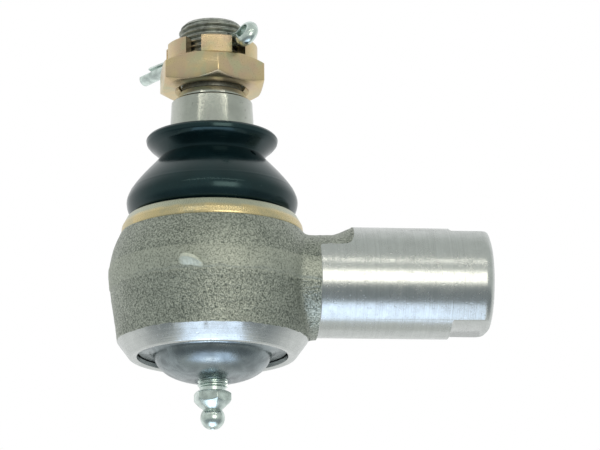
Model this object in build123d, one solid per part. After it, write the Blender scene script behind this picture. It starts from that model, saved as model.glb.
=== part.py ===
from build123d import *

import os
from math import cos, radians, sin, sqrt, tan

# Tie rod end. Millimetres, +Z up. The origin is the ball's centre, where the stud's axis (+Z)
# crosses the shank's axis (+X).

# ---- Driving dimensions --------------------------------------------------------------------
# Ball, stud and how far it swings
ball_r = 16.0
swing_deg = 18.0
neck_r = 9.5                # narrowest place of the stud, just above the ball
neck_blend = 3.0
thread_r = 9.0              # M18 x 1.5, as a plain cylinder of the nominal size
taper_large_z = 24.0        # where the stud's cone starts above the ball
taper_length = 26.0
taper_ratio = 10.0          # the cone loses 1 mm of diameter in this length
taper_step = 2.0            # the cone's small end stands this far over the thread
relief_depth = 0.6          # undercut between cone and thread
relief_past_nut = 1.3
stud_past_nut = 6.2
edge_chamfer = 0.5
thread_chamfer = 1.5

# Castle nut, M18 x 1.5
nut_af = 27.0
nut_gap = 3.2               # between the cone's small end and the nut
nut_hex_h = 7.6
crown_step = 1.0            # the crown is this much slimmer than the hexagon's flats
crown_h = 5.0
slot_count = 6
nut_corner_deg = -87.5      # direction of one hexagon corner
hexagon_chamfer_deg = 30.0

# Split cotter pin through two of the nut's slots
pin_r = 1.85
pin_drop = 0.3              # the pin's axis lies this far under the crown's top
pin_eye_inner_r = 1.9
pin_eye_blend_r = 2.5
pin_eye_length = 7.1        # how far the eye stands out of the crown
pin_long_leg = 19.5         # leg outside the crown
pin_short_leg = 16.2
pin_split = 0.1
pin_roll_deg = 22.0

# Forged housing, around the ball and its seats
seat_wall = 4.5             # seat thickness at the ball's equator
seat_wrap_deg = 33.3        # how far the upper seat closes over the ball
barrel_wall = 7.2
barrel_z = 1.0              # height of the barrel's widest place
barrel_top_wall = 4.2       # wall at the shoulder that the boot ring stands on
draft_drop = 4.0            # the forging draft starts this far under the widest place
draft_step = 0.3
mouth_wall = 7.2            # height of the swing opening over the seat
mouth_clear = 1.2           # between the opening and the stud's neck at full swing
collar_wall = 2.9
collar_h = 3.6              # collar's top over the ring's shoulder
spigot_step = 1.8
spigot_h = 0.8
cone_edge_drop = 0.5        # the machined bottom cone starts this far under the cap's seat
lip_wall = 3.0
lip_sheet = 1.8             # thickness of the rolled lip under the cap's flange
lip_cover = 2.2
lip_crown = 0.5             # the rolled lip bulges this far under its inner edge,
lip_crown_w = 1.8           # at this distance outside that edge
lip_shoulder_w = 1.0        # its shoulder lies this far inside the cone's edge
lip_shoulder_drop = 2.0     # and this far under it

# Shank with a blind M20 x 1.5 thread
shank_r = 15.0
shank_length = 45.5
shank_gap = 1.3             # turning starts this far outside the barrel
shank_round_r = 2.5
neck_extra_width = 1.2      # the forged neck is wider than the shank,
neck_extra_low = 0.6        # deeper below its middle plane
neck_top_drop = 2.5         # and lower on top
neck_dip = 2.0              # the low top runs this far along the turning
neck_rise = 6.0             # and rises to the shank in this length
top_turning = 1.8           # turning of the shoulder reaches this far over the neck
thread_bore_r = 10.0
thread_stop = 7.5           # solid length between barrel and thread
thread_mouth_chamfer = 1.5
drill_length = 3.0          # plain hole past the thread's end
drill_tip_deg = 118.0
flat_depth = 2.5
flat_length = 11.0
flat_roll_deg = 3.0

# Ball seats
seat_low_z = 0.5            # lower edge of the upper seat
cup_top_z = -0.9
cup_skirt = 8.6
cup_boss_r = 9.0
cup_floor = 2.3             # thickness under the ball
cup_hole_r = 2.2
seat_chamfer = 1.0

# Closure cap, pressed from sheet, and its seal
cap_seat_w = 1.9            # width of the step that the cap's flange sits on
cap_below_ball = 0.3
cap_sheet = 2.3
cap_flat_w = 4.3            # flange seen inside the rolled lip
cap_height = 9.2            # dome height outside, from the flange's underside
cap_power = 2.4             # 2 would make the dome elliptical; more makes it fuller
cap_points = 7
seal_section_r = 0.62
seal_room = 0.15            # round the seal's section in its groove

# Preload spring, a conical coil between cap and cup
spring_wire_r = 0.95
spring_small_r = 5.0
spring_large_r = 8.6
spring_turns = 1.75
coil_points_per_turn = 12

# Grease nipple, M8 x 1
nipple_thread_r = 4.0
nipple_inner_rise = 0.3     # its inner end stands this far inside the cap
nipple_stand = 2.6          # thread seen between cap and hexagon
nipple_hex_af = 9.0
nipple_hex_h = 3.0
nipple_hex_deg = -79.0      # direction of one hexagon corner
nipple_length = 9.8         # from the hexagon's upper face to the tip
nipple_cone_r = 4.6
nipple_cone_drop = 2.8
nipple_neck_r = 2.55
nipple_head_r = 3.25
nipple_tip_r = 1.5
nipple_relief_depth = 0.55
nipple_relief_h = 1.1
nipple_bore_r = 1.45
nipple_orifice_r = 0.8
nipple_seat_depth = 2.0     # from the tip to the top of the valve's cone
check_ball_r = 1.2
valve_spring_r = 1.0
valve_wire_r = 0.18
valve_turns = 6
keeper_rise = 1.4           # over the hexagon's upper face
keeper_h = 0.8
keeper_hole_r = 0.6

# Dust boot and its rings
boot_wall = 2.2
boot_bulge = 0.2            # the bulge stands this far over the ring's upper edge
boot_bulge_rise = 4.4       # its widest place over that edge
boot_height = 18.4          # rim over the bulge's widest place
boot_rim_w = 6.1            # lip width round the stud's cone
boot_rim_edge = 0.7
boot_face_drop = 0.6        # the lip's top face falls this much towards the stud
boot_flare_drop = 3.2       # rim to the waist's top
boot_waist_w = 2.7          # rubber round the stud's cone at the waist
boot_waist_h = 3.9
boot_lip_h = 6.9
ring_h = 4.7
ring_sheet = 1.3
ring_low_inset = 0.2
ring_draw = 1.6             # the ring is this much narrower at its top
lip_band_sheet = 0.8
lip_band_h = 4.2
lip_band_drop = 1.5         # from the rim to the band's top
foot_wire_r = 0.7
foot_wire_rise = 2.8

# Clearances
ball_fit = 0.05             # ball in its seats
cup_fit = 0.08              # sliding cup in the bore
seat_fit = 0.03             # fixed pieces in the bore
soft_gap = 0.3              # between the boot and what moves against it
pin_fit = 0.25              # pin in the stud's hole
slot_fit = 0.4              # pin in the nut's slots
insert_gap = 0.2            # between the boot's lip and the steel band in it
valve_fit = 0.02

# ---- Sizes that follow ---------------------------------------------------------------------
swing = radians(swing_deg)
taper_small_z = taper_large_z + taper_length
taper_small_r = thread_r + taper_step
relief_r = thread_r - relief_depth
nut_bottom_z = taper_small_z + nut_gap
hex_top_z = nut_bottom_z + nut_hex_h
crown_r = nut_af / 2 - crown_step
crown_top_z = hex_top_z + crown_h
relief_top_z = nut_bottom_z + relief_past_nut
stud_top_z = crown_top_z + stud_past_nut
slot_w = 2 * (pin_r + slot_fit)
slot_deg = nut_corner_deg + 180 / slot_count
pin_z = crown_top_z - pin_drop

bore_r = ball_r + seat_wall
barrel_r = bore_r + barrel_wall
seat_shoulder_z = (ball_r + ball_fit) * sin(radians(seat_wrap_deg))
collar_top_z = seat_shoulder_z + mouth_wall
barrel_top_z = collar_top_z - collar_h
barrel_top_r = bore_r + barrel_top_wall
spigot_r = barrel_top_r - spigot_step
spigot_top_z = barrel_top_z + spigot_h

cap_flange_top_z = -ball_r - cap_below_ball
cap_flange_low_z = cap_flange_top_z - cap_sheet
cap_low_z = cap_flange_low_z - cap_height
cap_flange_r = bore_r + cap_seat_w
lip_r = cap_flange_r - lip_cover
lip_z = cap_flange_low_z - lip_sheet
cap_root_r = lip_r - cap_flat_w
cap_inner_r = cap_root_r - cap_sheet
cone_edge_r = cap_flange_r + lip_wall
cone_edge_z = cap_flange_top_z - cone_edge_drop
seal_groove = 2 * (seal_section_r + seal_room)
cup_low_z = -ball_r - cup_floor

shank_start_x = barrel_r + shank_gap
shank_end_x = shank_start_x + shank_length
neck_dip_x = shank_start_x + neck_dip
neck_rise_x = neck_dip_x + neck_rise
neck_half_width = shank_r + neck_extra_width
neck_half_low = shank_r + neck_extra_low
neck_half_top = shank_r - neck_top_drop

nipple_inner_z = cap_low_z + cap_sheet + nipple_inner_rise
nipple_hex_top_z = cap_low_z - nipple_stand
nipple_tip_z = nipple_hex_top_z - nipple_length
nipple_head_z = nipple_tip_z + sqrt(nipple_head_r**2 - nipple_tip_r**2)
nipple_neck_z = nipple_head_z + sqrt(nipple_head_r**2 - nipple_neck_r**2)
nipple_relief_r = nipple_thread_r - nipple_relief_depth
nipple_seat_z = nipple_tip_z + nipple_seat_depth
keeper_z = nipple_hex_top_z + keeper_rise
valve_cone = radians(45)
check_ball_z = nipple_seat_z + (check_ball_r + valve_fit) / sin(valve_cone) - nipple_bore_r

ring_top_z = barrel_top_z + ring_h
ring_low_r = barrel_top_r - ring_low_inset
ring_top_r = ring_low_r - ring_draw
boot_foot_z = spigot_top_z + soft_gap
boot_bulge_r = ring_top_r + boot_bulge
boot_bulge_z = ring_top_z + boot_bulge_rise
boot_rim_z = boot_bulge_z + boot_height


def swing_room_r(z):
    """Radius that the stud's neck sweeps at height z, with clearance."""
    return (neck_r + z * sin(swing)) / cos(swing) + mouth_clear


ball_shoulder_r = sqrt(ball_r**2 - seat_shoulder_z**2)
mouth_low_r = max(swing_room_r(seat_shoulder_z), ball_shoulder_r + soft_gap)
mouth_high_r = max(swing_room_r(collar_top_z), mouth_low_r)
collar_r = mouth_high_r + collar_wall


def taper_r(z):
    """Radius of the stud's cone at height z."""
    return taper_small_r + (taper_small_z - z) / taper_ratio / 2


def ring_outer_r(z):
    """Outer radius of the conical boot ring at height z."""
    share = (z - barrel_top_z) / (ring_top_z - barrel_top_z)
    return ring_low_r + (ring_top_r - ring_low_r) * share


def ring_inner_r(z):
    """Inner radius of the conical boot ring at height z."""
    return ring_outer_r(z) - ring_sheet


def at(r, z):
    """A point of a turned outline."""
    return (r, 0, z)


def turned(*outline):
    """The solid that an outline of edges in the XZ plane makes, turned about Z."""
    return revolve(make_face(list(outline)), Axis.Z)


def turned_points(points):
    """The solid that a polygon of (radius, height) points makes, turned about Z."""
    corners = [(r, 0, z) for r, z in points]
    return turned(*Polyline(*corners, close=True).edges())


def dome_z(r, root_r, root_z):
    """Height of the cap's pressed dome at radius r."""
    return root_z - cap_height * (1 - (r / root_r) ** cap_power) ** (1 / cap_power)


def dome_curve(root_r, root_z):
    """The dome's outline from its root to its centre."""
    shares = [i / (cap_points - 1) for i in range(cap_points)]
    radii = [root_r * cos(radians(90) * share) for share in shares[:-1]] + [0]
    points = [at(r, dome_z(r, root_r, root_z)) for r in radii]
    return Spline(*points, tangents=[(0, 0, -1), (-1, 0, 0)])


def ring(inner_r, outer_r, low_z, high_z):
    """A plain turned ring."""
    return turned_points([(inner_r, low_z), (outer_r, low_z), (outer_r, high_z), (inner_r, high_z)])


def disc(radius, low_z, high_z):
    """A plain cylinder on the stud's axis."""
    return Cylinder(radius, high_z - low_z, align=(Align.CENTER, Align.CENTER, Align.MIN)).moved(
        Pos(0, 0, low_z)
    )


def hexagon(across_flats, low_z, high_z, corner_deg):
    """A hexagonal prism on the stud's axis."""
    corner_r = across_flats / 2 / cos(radians(30))
    angles = [radians(corner_deg + 60 * i) for i in range(6)]
    corners = [(corner_r * cos(a), corner_r * sin(a), low_z) for a in angles]
    return extrude(make_face(Polyline(*corners, close=True)), high_z - low_z, dir=(0, 0, 1))


def hexagon_chamfer(across_flats, low_z, high_z):
    """The turned envelope that takes a hexagon's corners off at both ends."""
    corner_r = across_flats / 2 / cos(radians(30))
    flat_r = across_flats / 2
    rise = (corner_r - flat_r) * tan(radians(hexagon_chamfer_deg))
    return turned_points(
        [(0, low_z), (flat_r, low_z), (corner_r, low_z + rise),
         (corner_r, high_z - rise), (flat_r, high_z), (0, high_z)]
    )


def coil(wire_r, low_r, high_r, low_z, high_z, turns):
    """A coil spring's wire, from the centre of its first turn to the centre of its last."""
    rise = high_z - low_z
    grow = high_r - low_r
    count = round(turns * coil_points_per_turn)
    points = []
    for i in range(count + 1):
        share = i / count
        angle = 2 * radians(180) * turns * share
        r = low_r + grow * share
        points.append((r * cos(angle), r * sin(angle), low_z + rise * share))
    path = Spline(*points)
    section = Plane(origin=path @ 0, z_dir=path % 0) * Circle(wire_r)
    return sweep(section, path=path)


# ---- Ball and stud -------------------------------------------------------------------------
def make_ball_stud():
    """Ball, neck, cone, undercut and thread in one turning, with the cross hole for the pin."""
    meet_z = sqrt(ball_r**2 - neck_r**2)
    flare_z = taper_large_z - (taper_r(taper_large_z) - neck_r)
    shaft = turned_points(
        [(0, meet_z - neck_blend), (neck_r, meet_z - neck_blend), (neck_r, flare_z),
         (taper_r(taper_large_z), taper_large_z),
         (taper_r(taper_small_z - edge_chamfer), taper_small_z - edge_chamfer),
         (taper_small_r - edge_chamfer, taper_small_z),
         (relief_r, taper_small_z), (relief_r, relief_top_z),
         (thread_r, relief_top_z + thread_r - relief_r),
         (thread_r, stud_top_z - thread_chamfer), (thread_r - thread_chamfer, stud_top_z),
         (0, stud_top_z)]
    )
    hole = Cylinder(pin_r + pin_fit, 4 * thread_r, rotation=(0, 90, 0))
    return Sphere(ball_r) + shaft - Rot(0, 0, slot_deg) * hole.moved(Pos(0, 0, pin_z))


def make_castle_nut():
    """Hexagon with chamfered corners, and a slotted crown whose slots face the flats."""
    body = hexagon(nut_af, nut_bottom_z, hex_top_z, nut_corner_deg)
    body &= hexagon_chamfer(nut_af, nut_bottom_z, hex_top_z)
    nut = body + disc(crown_r, hex_top_z, crown_top_z) - disc(
        thread_r + seat_fit, nut_bottom_z, crown_top_z
    )
    slot = Box(4 * crown_r, slot_w, 2 * crown_h).moved(Pos(0, 0, hex_top_z + crown_h))
    for i in range(slot_count // 2):
        nut -= Rot(0, 0, slot_deg + i * 360 / slot_count) * slot
    return nut


def make_cotter_pin():
    """Half-round wire doubled into an eye, with two straight legs of different length."""
    flat_y = pin_split / 2
    wire_r = pin_r - flat_y
    eye_x = crown_r + pin_eye_length - pin_eye_inner_r - wire_r
    start = -crown_r - pin_short_leg
    blend_y = flat_y + pin_eye_blend_r
    reach = pin_eye_inner_r + pin_eye_blend_r
    blend_x = eye_x - sqrt(reach**2 - blend_y**2)
    share = pin_eye_inner_r / reach
    touch = (eye_x + (blend_x - eye_x) * share, blend_y * share)
    middle = Vector(touch[0] - blend_x, touch[1] - blend_y).normalized() + Vector(0, -1)
    middle = Vector(blend_x, blend_y) + middle.normalized() * pin_eye_blend_r
    path = Wire([
        Line((start, flat_y), (blend_x, flat_y)),
        ThreePointArc((blend_x, flat_y), middle, touch),
        ThreePointArc(touch, (eye_x + pin_eye_inner_r, 0), (touch[0], -touch[1])),
        ThreePointArc((touch[0], -touch[1]), (middle.X, -middle.Y), (blend_x, -flat_y)),
        Line((blend_x, -flat_y), (-crown_r - pin_long_leg, -flat_y)),
    ])
    section = make_face([
        Line((start, flat_y, -wire_r), (start, flat_y, wire_r)).edge(),
        ThreePointArc(
            (start, flat_y, wire_r), (start, flat_y + wire_r, 0), (start, flat_y, -wire_r)
        ).edge(),
    ])
    pin = sweep(section, path=path)
    along = Vector(cos(radians(slot_deg)), sin(radians(slot_deg)), 0)
    side = Vector(0, 0, 1).cross(along) * -1
    normal = side * cos(radians(pin_roll_deg)) + Vector(0, 0, sin(radians(pin_roll_deg)))
    return Plane(origin=(0, 0, pin_z), x_dir=along, z_dir=normal).location * pin


# ---- Housing -------------------------------------------------------------------------------
def barrel():
    """The forged barrel with its machined top and bottom, still solid."""
    upper = TangentArc(at(barrel_r, barrel_z), at(barrel_top_r, barrel_top_z), tangent=(0, 0, 1))
    draft = at(barrel_r - draft_step, barrel_z - draft_drop)
    lower = TangentArc(at(barrel_r, barrel_z), draft, tangent=(0, 0, -1))
    top = Polyline(
        at(barrel_top_r, barrel_top_z), at(spigot_r, barrel_top_z), at(spigot_r, spigot_top_z),
        at(collar_r, spigot_top_z), at(collar_r, collar_top_z), at(0, collar_top_z),
        at(0, lip_z), at(lip_r, lip_z), at(lip_r + lip_crown_w, lip_z - lip_crown),
        at(cone_edge_r - lip_shoulder_w, cone_edge_z - lip_shoulder_drop),
        at(cone_edge_r, cone_edge_z), draft,
    )
    return turned(upper.edge(), lower.edge(), *top.edges())


def barrel_cavity():
    """Swing opening, seat bore, seal groove and cap seat, from top to bottom."""
    groove_r = bore_r + seal_groove
    groove_z = cap_flange_top_z + seal_groove
    pocket_r = cap_flange_r + seat_fit
    past = 1
    return turned_points(
        [(0, collar_top_z + past), (mouth_high_r, collar_top_z + past),
         (mouth_high_r, collar_top_z), (mouth_low_r, seat_shoulder_z), (bore_r, seat_shoulder_z),
         (bore_r, groove_z), (groove_r, groove_z),
         (groove_r, cap_flange_top_z), (pocket_r, cap_flange_top_z),
         (pocket_r, cap_flange_low_z), (lip_r, cap_flange_low_z), (lip_r, lip_z - past),
         (0, lip_z - past)]
    )


def half_section(x, half_width, height):
    """Half an ellipse across the shank at x, above the middle plane or, for minus, below it."""
    plane = Plane(origin=(x, 0, 0), x_dir=(0, 1, 0), z_dir=(1, 0, 0))
    turn = 180 if height > 0 else -180
    arc = EllipticalCenterArc((0, 0), half_width, abs(height), start_angle=0, arc_size=turn)
    return plane * make_face([arc.edge(), Line(arc @ 1, arc @ 0).edge()])


def neck():
    """The forged neck, with a low top that rises to the turned shank."""
    low = extrude(half_section(0, neck_half_width, -neck_half_low), neck_rise_x, dir=(1, 0, 0))
    top = extrude(half_section(0, neck_half_width, neck_half_top), neck_dip_x, dir=(1, 0, 0))
    ramp = loft([
        half_section(neck_dip_x, neck_half_width, neck_half_top).face(),
        half_section(neck_rise_x, neck_half_width, neck_half_low).face(),
    ])
    return low + top + ramp


def shank():
    """Forged neck and turned shank along +X, with two wrench flats at the end."""
    tail = shank_end_x - shank_round_r
    outline = Polyline(
        (shank_start_x, 0, 0), (shank_start_x, 0, shank_r), (tail, 0, shank_r),
    )
    corner = TangentArc((tail, 0, shank_r), (shank_end_x, 0, shank_r - shank_round_r),
                        tangent=(1, 0, 0))
    back = Polyline(
        (shank_end_x, 0, shank_r - shank_round_r), (shank_end_x, 0, 0), (shank_start_x, 0, 0)
    )
    edges = [*outline.edges(), corner.edge(), *back.edges()]
    envelope = revolve(make_face(edges), Axis.X)
    forged = Box(shank_start_x, 4 * shank_r, 4 * shank_r).moved(Pos(shank_start_x / 2, 0, 0))
    reach = shank_end_x - neck_rise_x
    beyond = Box(reach, 4 * shank_r, 4 * shank_r).moved(Pos(neck_rise_x + reach / 2, 0, 0))
    blank = neck()
    bar = (blank & forged) + (blank & envelope) + (envelope & beyond)
    cut = Box(2 * flat_length, 4 * shank_r, shank_r)
    for side in (1, -1):
        place = Pos(shank_end_x, 0, side * (shank_r - flat_depth + shank_r / 2))
        bar -= Rot(flat_roll_deg, 0, 0) * cut.moved(place)
    return bar


def shoulder_turning():
    """What turning the barrel's top takes off the neck."""
    reach_r = barrel_top_r + top_turning
    past = 2 * neck_half_low
    return turned_points(
        [(0, collar_top_z), (collar_r, collar_top_z), (collar_r, spigot_top_z),
         (spigot_r, spigot_top_z), (spigot_r, barrel_top_z), (reach_r, barrel_top_z),
         (reach_r, past), (0, past)]
    )


def shank_bore():
    """Thread bore as a plain cylinder, with its mouth chamfer and the drill's cone."""
    inner_x = shank_start_x + thread_stop - drill_length
    tip_x = inner_x - thread_bore_r / tan(radians(drill_tip_deg / 2))
    mouth_r = thread_bore_r + thread_mouth_chamfer
    outline = Polyline(
        (tip_x, 0, 0), (inner_x, 0, thread_bore_r),
        (shank_end_x - thread_mouth_chamfer, 0, thread_bore_r), (shank_end_x, 0, mouth_r),
        (shank_end_x + 1, 0, mouth_r), (shank_end_x + 1, 0, 0), close=True,
    )
    return revolve(make_face(outline), Axis.X)


def make_housing():
    """Barrel and shank in one forging, machined inside."""
    return barrel() + (shank() - shoulder_turning()) - barrel_cavity() - shank_bore()


# ---- Ball seats and what presses on them -----------------------------------------------------
def make_upper_ball_seat():
    """Fixed seat over the ball, with the ball's shape inside."""
    outer_r = bore_r - seat_fit
    blank = turned_points(
        [(0, seat_low_z), (outer_r, seat_low_z), (outer_r, seat_shoulder_z - seat_chamfer),
         (outer_r - seat_chamfer, seat_shoulder_z), (0, seat_shoulder_z)]
    )
    return blank - Sphere(ball_r + ball_fit)


def make_pressure_cup():
    """Sliding seat under the ball: a skirt in the bore and a flat boss for the spring."""
    skirt_r = bore_r - cup_fit
    blank = turned_points(
        [(0, cup_top_z), (skirt_r, cup_top_z), (skirt_r, cup_top_z - cup_skirt),
         (cup_boss_r, cup_low_z), (0, cup_low_z)]
    )
    return blank - Sphere(ball_r + ball_fit) - disc(cup_hole_r, cup_low_z - 1, -ball_r / 2)


def spring_low_z():
    """Centre height of the preload spring's large turn, where it stands in the cap's dome."""
    touch_r = spring_large_r + spring_wire_r
    return dome_z(touch_r, cap_inner_r, cap_flange_top_z) + spring_wire_r


def make_preload_spring():
    """Conical coil between the cap's dome and the cup's boss."""
    high_z = cup_low_z - spring_wire_r
    return coil(spring_wire_r, spring_large_r, spring_small_r, spring_low_z(), high_z, spring_turns)


def make_closure_cap():
    """Flat flange under the rolled lip, and a pressed dome with the nipple's hole."""
    outer = dome_curve(cap_root_r, cap_flange_low_z)
    inner = dome_curve(cap_inner_r, cap_flange_top_z)
    flange = Polyline(
        at(cap_root_r, cap_flange_low_z), at(cap_flange_r, cap_flange_low_z),
        at(cap_flange_r, cap_flange_top_z), at(cap_inner_r, cap_flange_top_z),
    )
    middle = Line(outer @ 1, inner @ 1)
    sheet = turned(*flange.edges(), outer.edge(), middle.edge(), inner.edge())
    return sheet - disc(nipple_thread_r + seat_fit, cap_low_z - 1, cap_flange_low_z)


def make_cap_seal():
    """Rubber ring in the corner groove above the cap's flange."""
    half = seal_groove / 2
    return Torus(bore_r + half, seal_section_r).moved(Pos(0, 0, cap_flange_top_z + half))


# ---- Grease nipple ---------------------------------------------------------------------------
def make_nipple_body():
    """Threaded stem, hexagon and ball-shaped head, bored for the valve."""
    stem_chamfer = nipple_relief_depth
    relief_z = nipple_hex_top_z + nipple_relief_h
    hex_low_z = nipple_hex_top_z - nipple_hex_h
    stem = turned_points(
        [(0, nipple_inner_z), (nipple_relief_r, nipple_inner_z),
         (nipple_thread_r, nipple_inner_z - stem_chamfer), (nipple_thread_r, relief_z),
         (nipple_relief_r, relief_z - stem_chamfer / 2), (nipple_relief_r, nipple_hex_top_z),
         (nipple_cone_r, nipple_hex_top_z - nipple_cone_drop), (nipple_neck_r, nipple_neck_z),
         (nipple_neck_r, nipple_head_z), (0, nipple_head_z)]
    )
    nut = hexagon(nipple_hex_af, hex_low_z, nipple_hex_top_z, nipple_hex_deg)
    nut &= hexagon_chamfer(nipple_hex_af, hex_low_z, nipple_hex_top_z)
    head = Sphere(nipple_head_r).moved(Pos(0, 0, nipple_head_z)) & disc(
        nipple_head_r, nipple_tip_z, nipple_neck_z
    )
    cone_h = nipple_bore_r - nipple_orifice_r
    valve = turned_points(
        [(0, nipple_inner_z + 1), (nipple_bore_r, nipple_inner_z + 1),
         (nipple_bore_r, nipple_seat_z), (nipple_orifice_r, nipple_seat_z - cone_h),
         (nipple_orifice_r, nipple_tip_z - 1), (0, nipple_tip_z - 1)]
    )
    return stem + nut + head - valve


def make_nipple_check_ball():
    """Steel ball that closes the nipple from inside."""
    return Sphere(check_ball_r).moved(Pos(0, 0, check_ball_z))


def make_nipple_valve_spring():
    """Fine coil between the check ball and its keeper."""
    rest_z = check_ball_z + sqrt(check_ball_r**2 - valve_spring_r**2) + 2 * valve_wire_r
    high_z = keeper_z - valve_wire_r - valve_fit
    return coil(valve_wire_r, valve_spring_r, valve_spring_r, rest_z, high_z, valve_turns)


def make_nipple_spring_keeper():
    """Pressed ring that holds the valve spring in the bore."""
    return ring(keeper_hole_r, nipple_bore_r - valve_fit, keeper_z, keeper_z + keeper_h)


# ---- Dust boot -------------------------------------------------------------------------------
def make_dust_boot():
    """Rubber bellows from the housing's collar to the stud's cone, with room for its two rings."""
    face_z = boot_rim_z - boot_face_drop
    lip_low_z = boot_rim_z - boot_lip_h
    rim_r = taper_r(boot_rim_z) + boot_rim_w
    waist_z = boot_rim_z - boot_flare_drop
    waist_r = taper_r(waist_z) + boot_waist_w
    lip_top = at(taper_r(face_z) + soft_gap, face_z)
    lip_low = at(taper_r(lip_low_z) + soft_gap, lip_low_z)
    rim_low = at(rim_r, boot_rim_z - boot_rim_edge)
    waist_top = at(waist_r, waist_z)
    waist_low = at(waist_r, waist_z - boot_waist_h)
    bulge = at(boot_bulge_r, boot_bulge_z)
    neck_z = ring_top_z + soft_gap
    neck = at(ring_inner_r(ring_top_z) - soft_gap, neck_z)
    foot_outer = at(ring_inner_r(boot_foot_z) - soft_gap, boot_foot_z)
    foot_inner_r = collar_r + soft_gap
    inner_bulge = at(boot_bulge_r - boot_wall, boot_bulge_z)
    flare = Spline(rim_low, waist_top, tangents=[(-1, 0, -0.35), (-0.1, 0, -1)])
    shoulder = Spline(waist_low, bulge, tangents=[(0.9, 0, -0.5), (0, 0, -1)])
    tuck = TangentArc(bulge, neck, tangent=(0, 0, -1))
    foot = Polyline(neck, foot_outer, at(foot_inner_r, boot_foot_z), at(foot_inner_r, neck_z))
    inside_low = Spline(at(foot_inner_r, neck_z), inner_bulge, tangents=[(0, 0, 1), (0, 0, 1)])
    inside_high = Spline(inner_bulge, lip_low, tangents=[(0, 0, 1), (-1, 0, 0.4)])
    lip = Polyline(lip_low, lip_top, at(rim_r - boot_rim_edge, boot_rim_z), rim_low)
    boot = turned(
        flare.edge(), Line(waist_top, waist_low).edge(), shoulder.edge(), tuck.edge(),
        *foot.edges(), inside_low.edge(), inside_high.edge(), *lip.edges(),
    )
    return boot - lip_band(insert_gap) - make_boot_foot_wire()


def make_boot_foot_wire():
    """Wire ring moulded into the boot's foot."""
    wire_z = barrel_top_z + foot_wire_rise
    middle_r = (collar_r + ring_inner_r(wire_z)) / 2
    return Torus(middle_r, foot_wire_r).moved(Pos(0, 0, wire_z))


def lip_band(grow):
    """The band in the boot's lip, larger all round by grow."""
    top_z = boot_rim_z - lip_band_drop
    middle_r = taper_r(top_z) + (soft_gap + boot_waist_w) / 2
    half = lip_band_sheet / 2 + grow
    return ring(middle_r - half, middle_r + half, top_z - lip_band_h - grow, top_z + grow)


def make_boot_lip_band():
    """Steel band inside the boot's lip, which keeps its grip on the stud."""
    return lip_band(0)


def make_boot_retaining_ring():
    """Conical sheet ring that holds the boot's foot down on the housing."""
    heights = (barrel_top_z, ring_top_z)
    outer = [(ring_outer_r(z), z) for z in heights]
    inner = [(ring_inner_r(z), z) for z in reversed(heights)]
    return turned_points(outer + inner)


makers = {
    "housing": make_housing,
    "ball_stud": make_ball_stud,
    "upper_ball_seat": make_upper_ball_seat,
    "pressure_cup": make_pressure_cup,
    "preload_spring": make_preload_spring,
    "closure_cap": make_closure_cap,
    "cap_seal": make_cap_seal,
    "grease_nipple": make_nipple_body,
    "nipple_check_ball": make_nipple_check_ball,
    "nipple_valve_spring": make_nipple_valve_spring,
    "nipple_spring_keeper": make_nipple_spring_keeper,
    "dust_boot": make_dust_boot,
    "boot_foot_wire": make_boot_foot_wire,
    "boot_lip_band": make_boot_lip_band,
    "boot_retaining_ring": make_boot_retaining_ring,
    "castle_nut": make_castle_nut,
    "cotter_pin": make_cotter_pin,
}

os.makedirs("parts", exist_ok=True)
for node, make in makers.items():
    export_step(make(), f"parts/{node}.step")
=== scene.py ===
import math
from types import SimpleNamespace

import bmesh
import bpy
import numpy as np
from bpy.props import FloatProperty, FloatVectorProperty, IntProperty, PointerProperty
from mathutils import Matrix, Vector, noise


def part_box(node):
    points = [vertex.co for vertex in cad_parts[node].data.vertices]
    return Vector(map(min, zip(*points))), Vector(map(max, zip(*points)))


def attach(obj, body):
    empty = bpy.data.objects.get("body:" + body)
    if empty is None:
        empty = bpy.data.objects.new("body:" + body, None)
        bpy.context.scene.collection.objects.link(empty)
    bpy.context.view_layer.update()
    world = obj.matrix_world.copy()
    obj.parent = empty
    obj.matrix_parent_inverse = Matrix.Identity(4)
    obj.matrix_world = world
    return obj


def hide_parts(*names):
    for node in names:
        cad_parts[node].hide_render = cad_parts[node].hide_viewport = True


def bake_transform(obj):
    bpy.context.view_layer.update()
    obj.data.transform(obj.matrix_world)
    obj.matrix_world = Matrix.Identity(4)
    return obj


bl_info = {
    "name": "Tie Rod End",
    "version": (1, 0, 0),
    "blender": (4, 5, 0),
    "location": "View3D > Sidebar > Tie Rod End",
    "description": "Builds the visible pieces of a forged tie rod end on its packed model",
    "category": "Add Mesh",
}

MM = 0.001
UP = Vector((0, 0, 1))

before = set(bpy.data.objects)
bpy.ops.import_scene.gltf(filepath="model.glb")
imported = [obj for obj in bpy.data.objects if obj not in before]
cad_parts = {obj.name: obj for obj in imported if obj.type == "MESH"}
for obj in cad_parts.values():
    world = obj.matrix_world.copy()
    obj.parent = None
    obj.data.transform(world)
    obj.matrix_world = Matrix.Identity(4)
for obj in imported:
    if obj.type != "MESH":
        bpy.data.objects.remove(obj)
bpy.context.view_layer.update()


# ---- Sizes and colours -----------------------------------------------------------------------
def linear(hex_colour):
    """An sRGB hex colour as linear red, green, blue and full alpha."""
    shares = [int(hex_colour[i:i + 2], 16) / 255 for i in (1, 3, 5)]
    return [c / 12.92 if c <= 0.04045 else ((c + 0.055) / 1.055) ** 2.4 for c in shares] + [1.0]


def length(name, description, millimetres):
    """A property that holds a length."""
    return FloatProperty(name=name, description=description, default=millimetres * MM,
                         unit="LENGTH", precision=5)


def number(name, description, value):
    """A property that holds a plain number."""
    return FloatProperty(name=name, description=description, default=value)


def angle(name, description, degrees):
    """A property that holds an angle."""
    return FloatProperty(name=name, description=description, default=math.radians(degrees),
                         unit="ROTATION")


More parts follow.
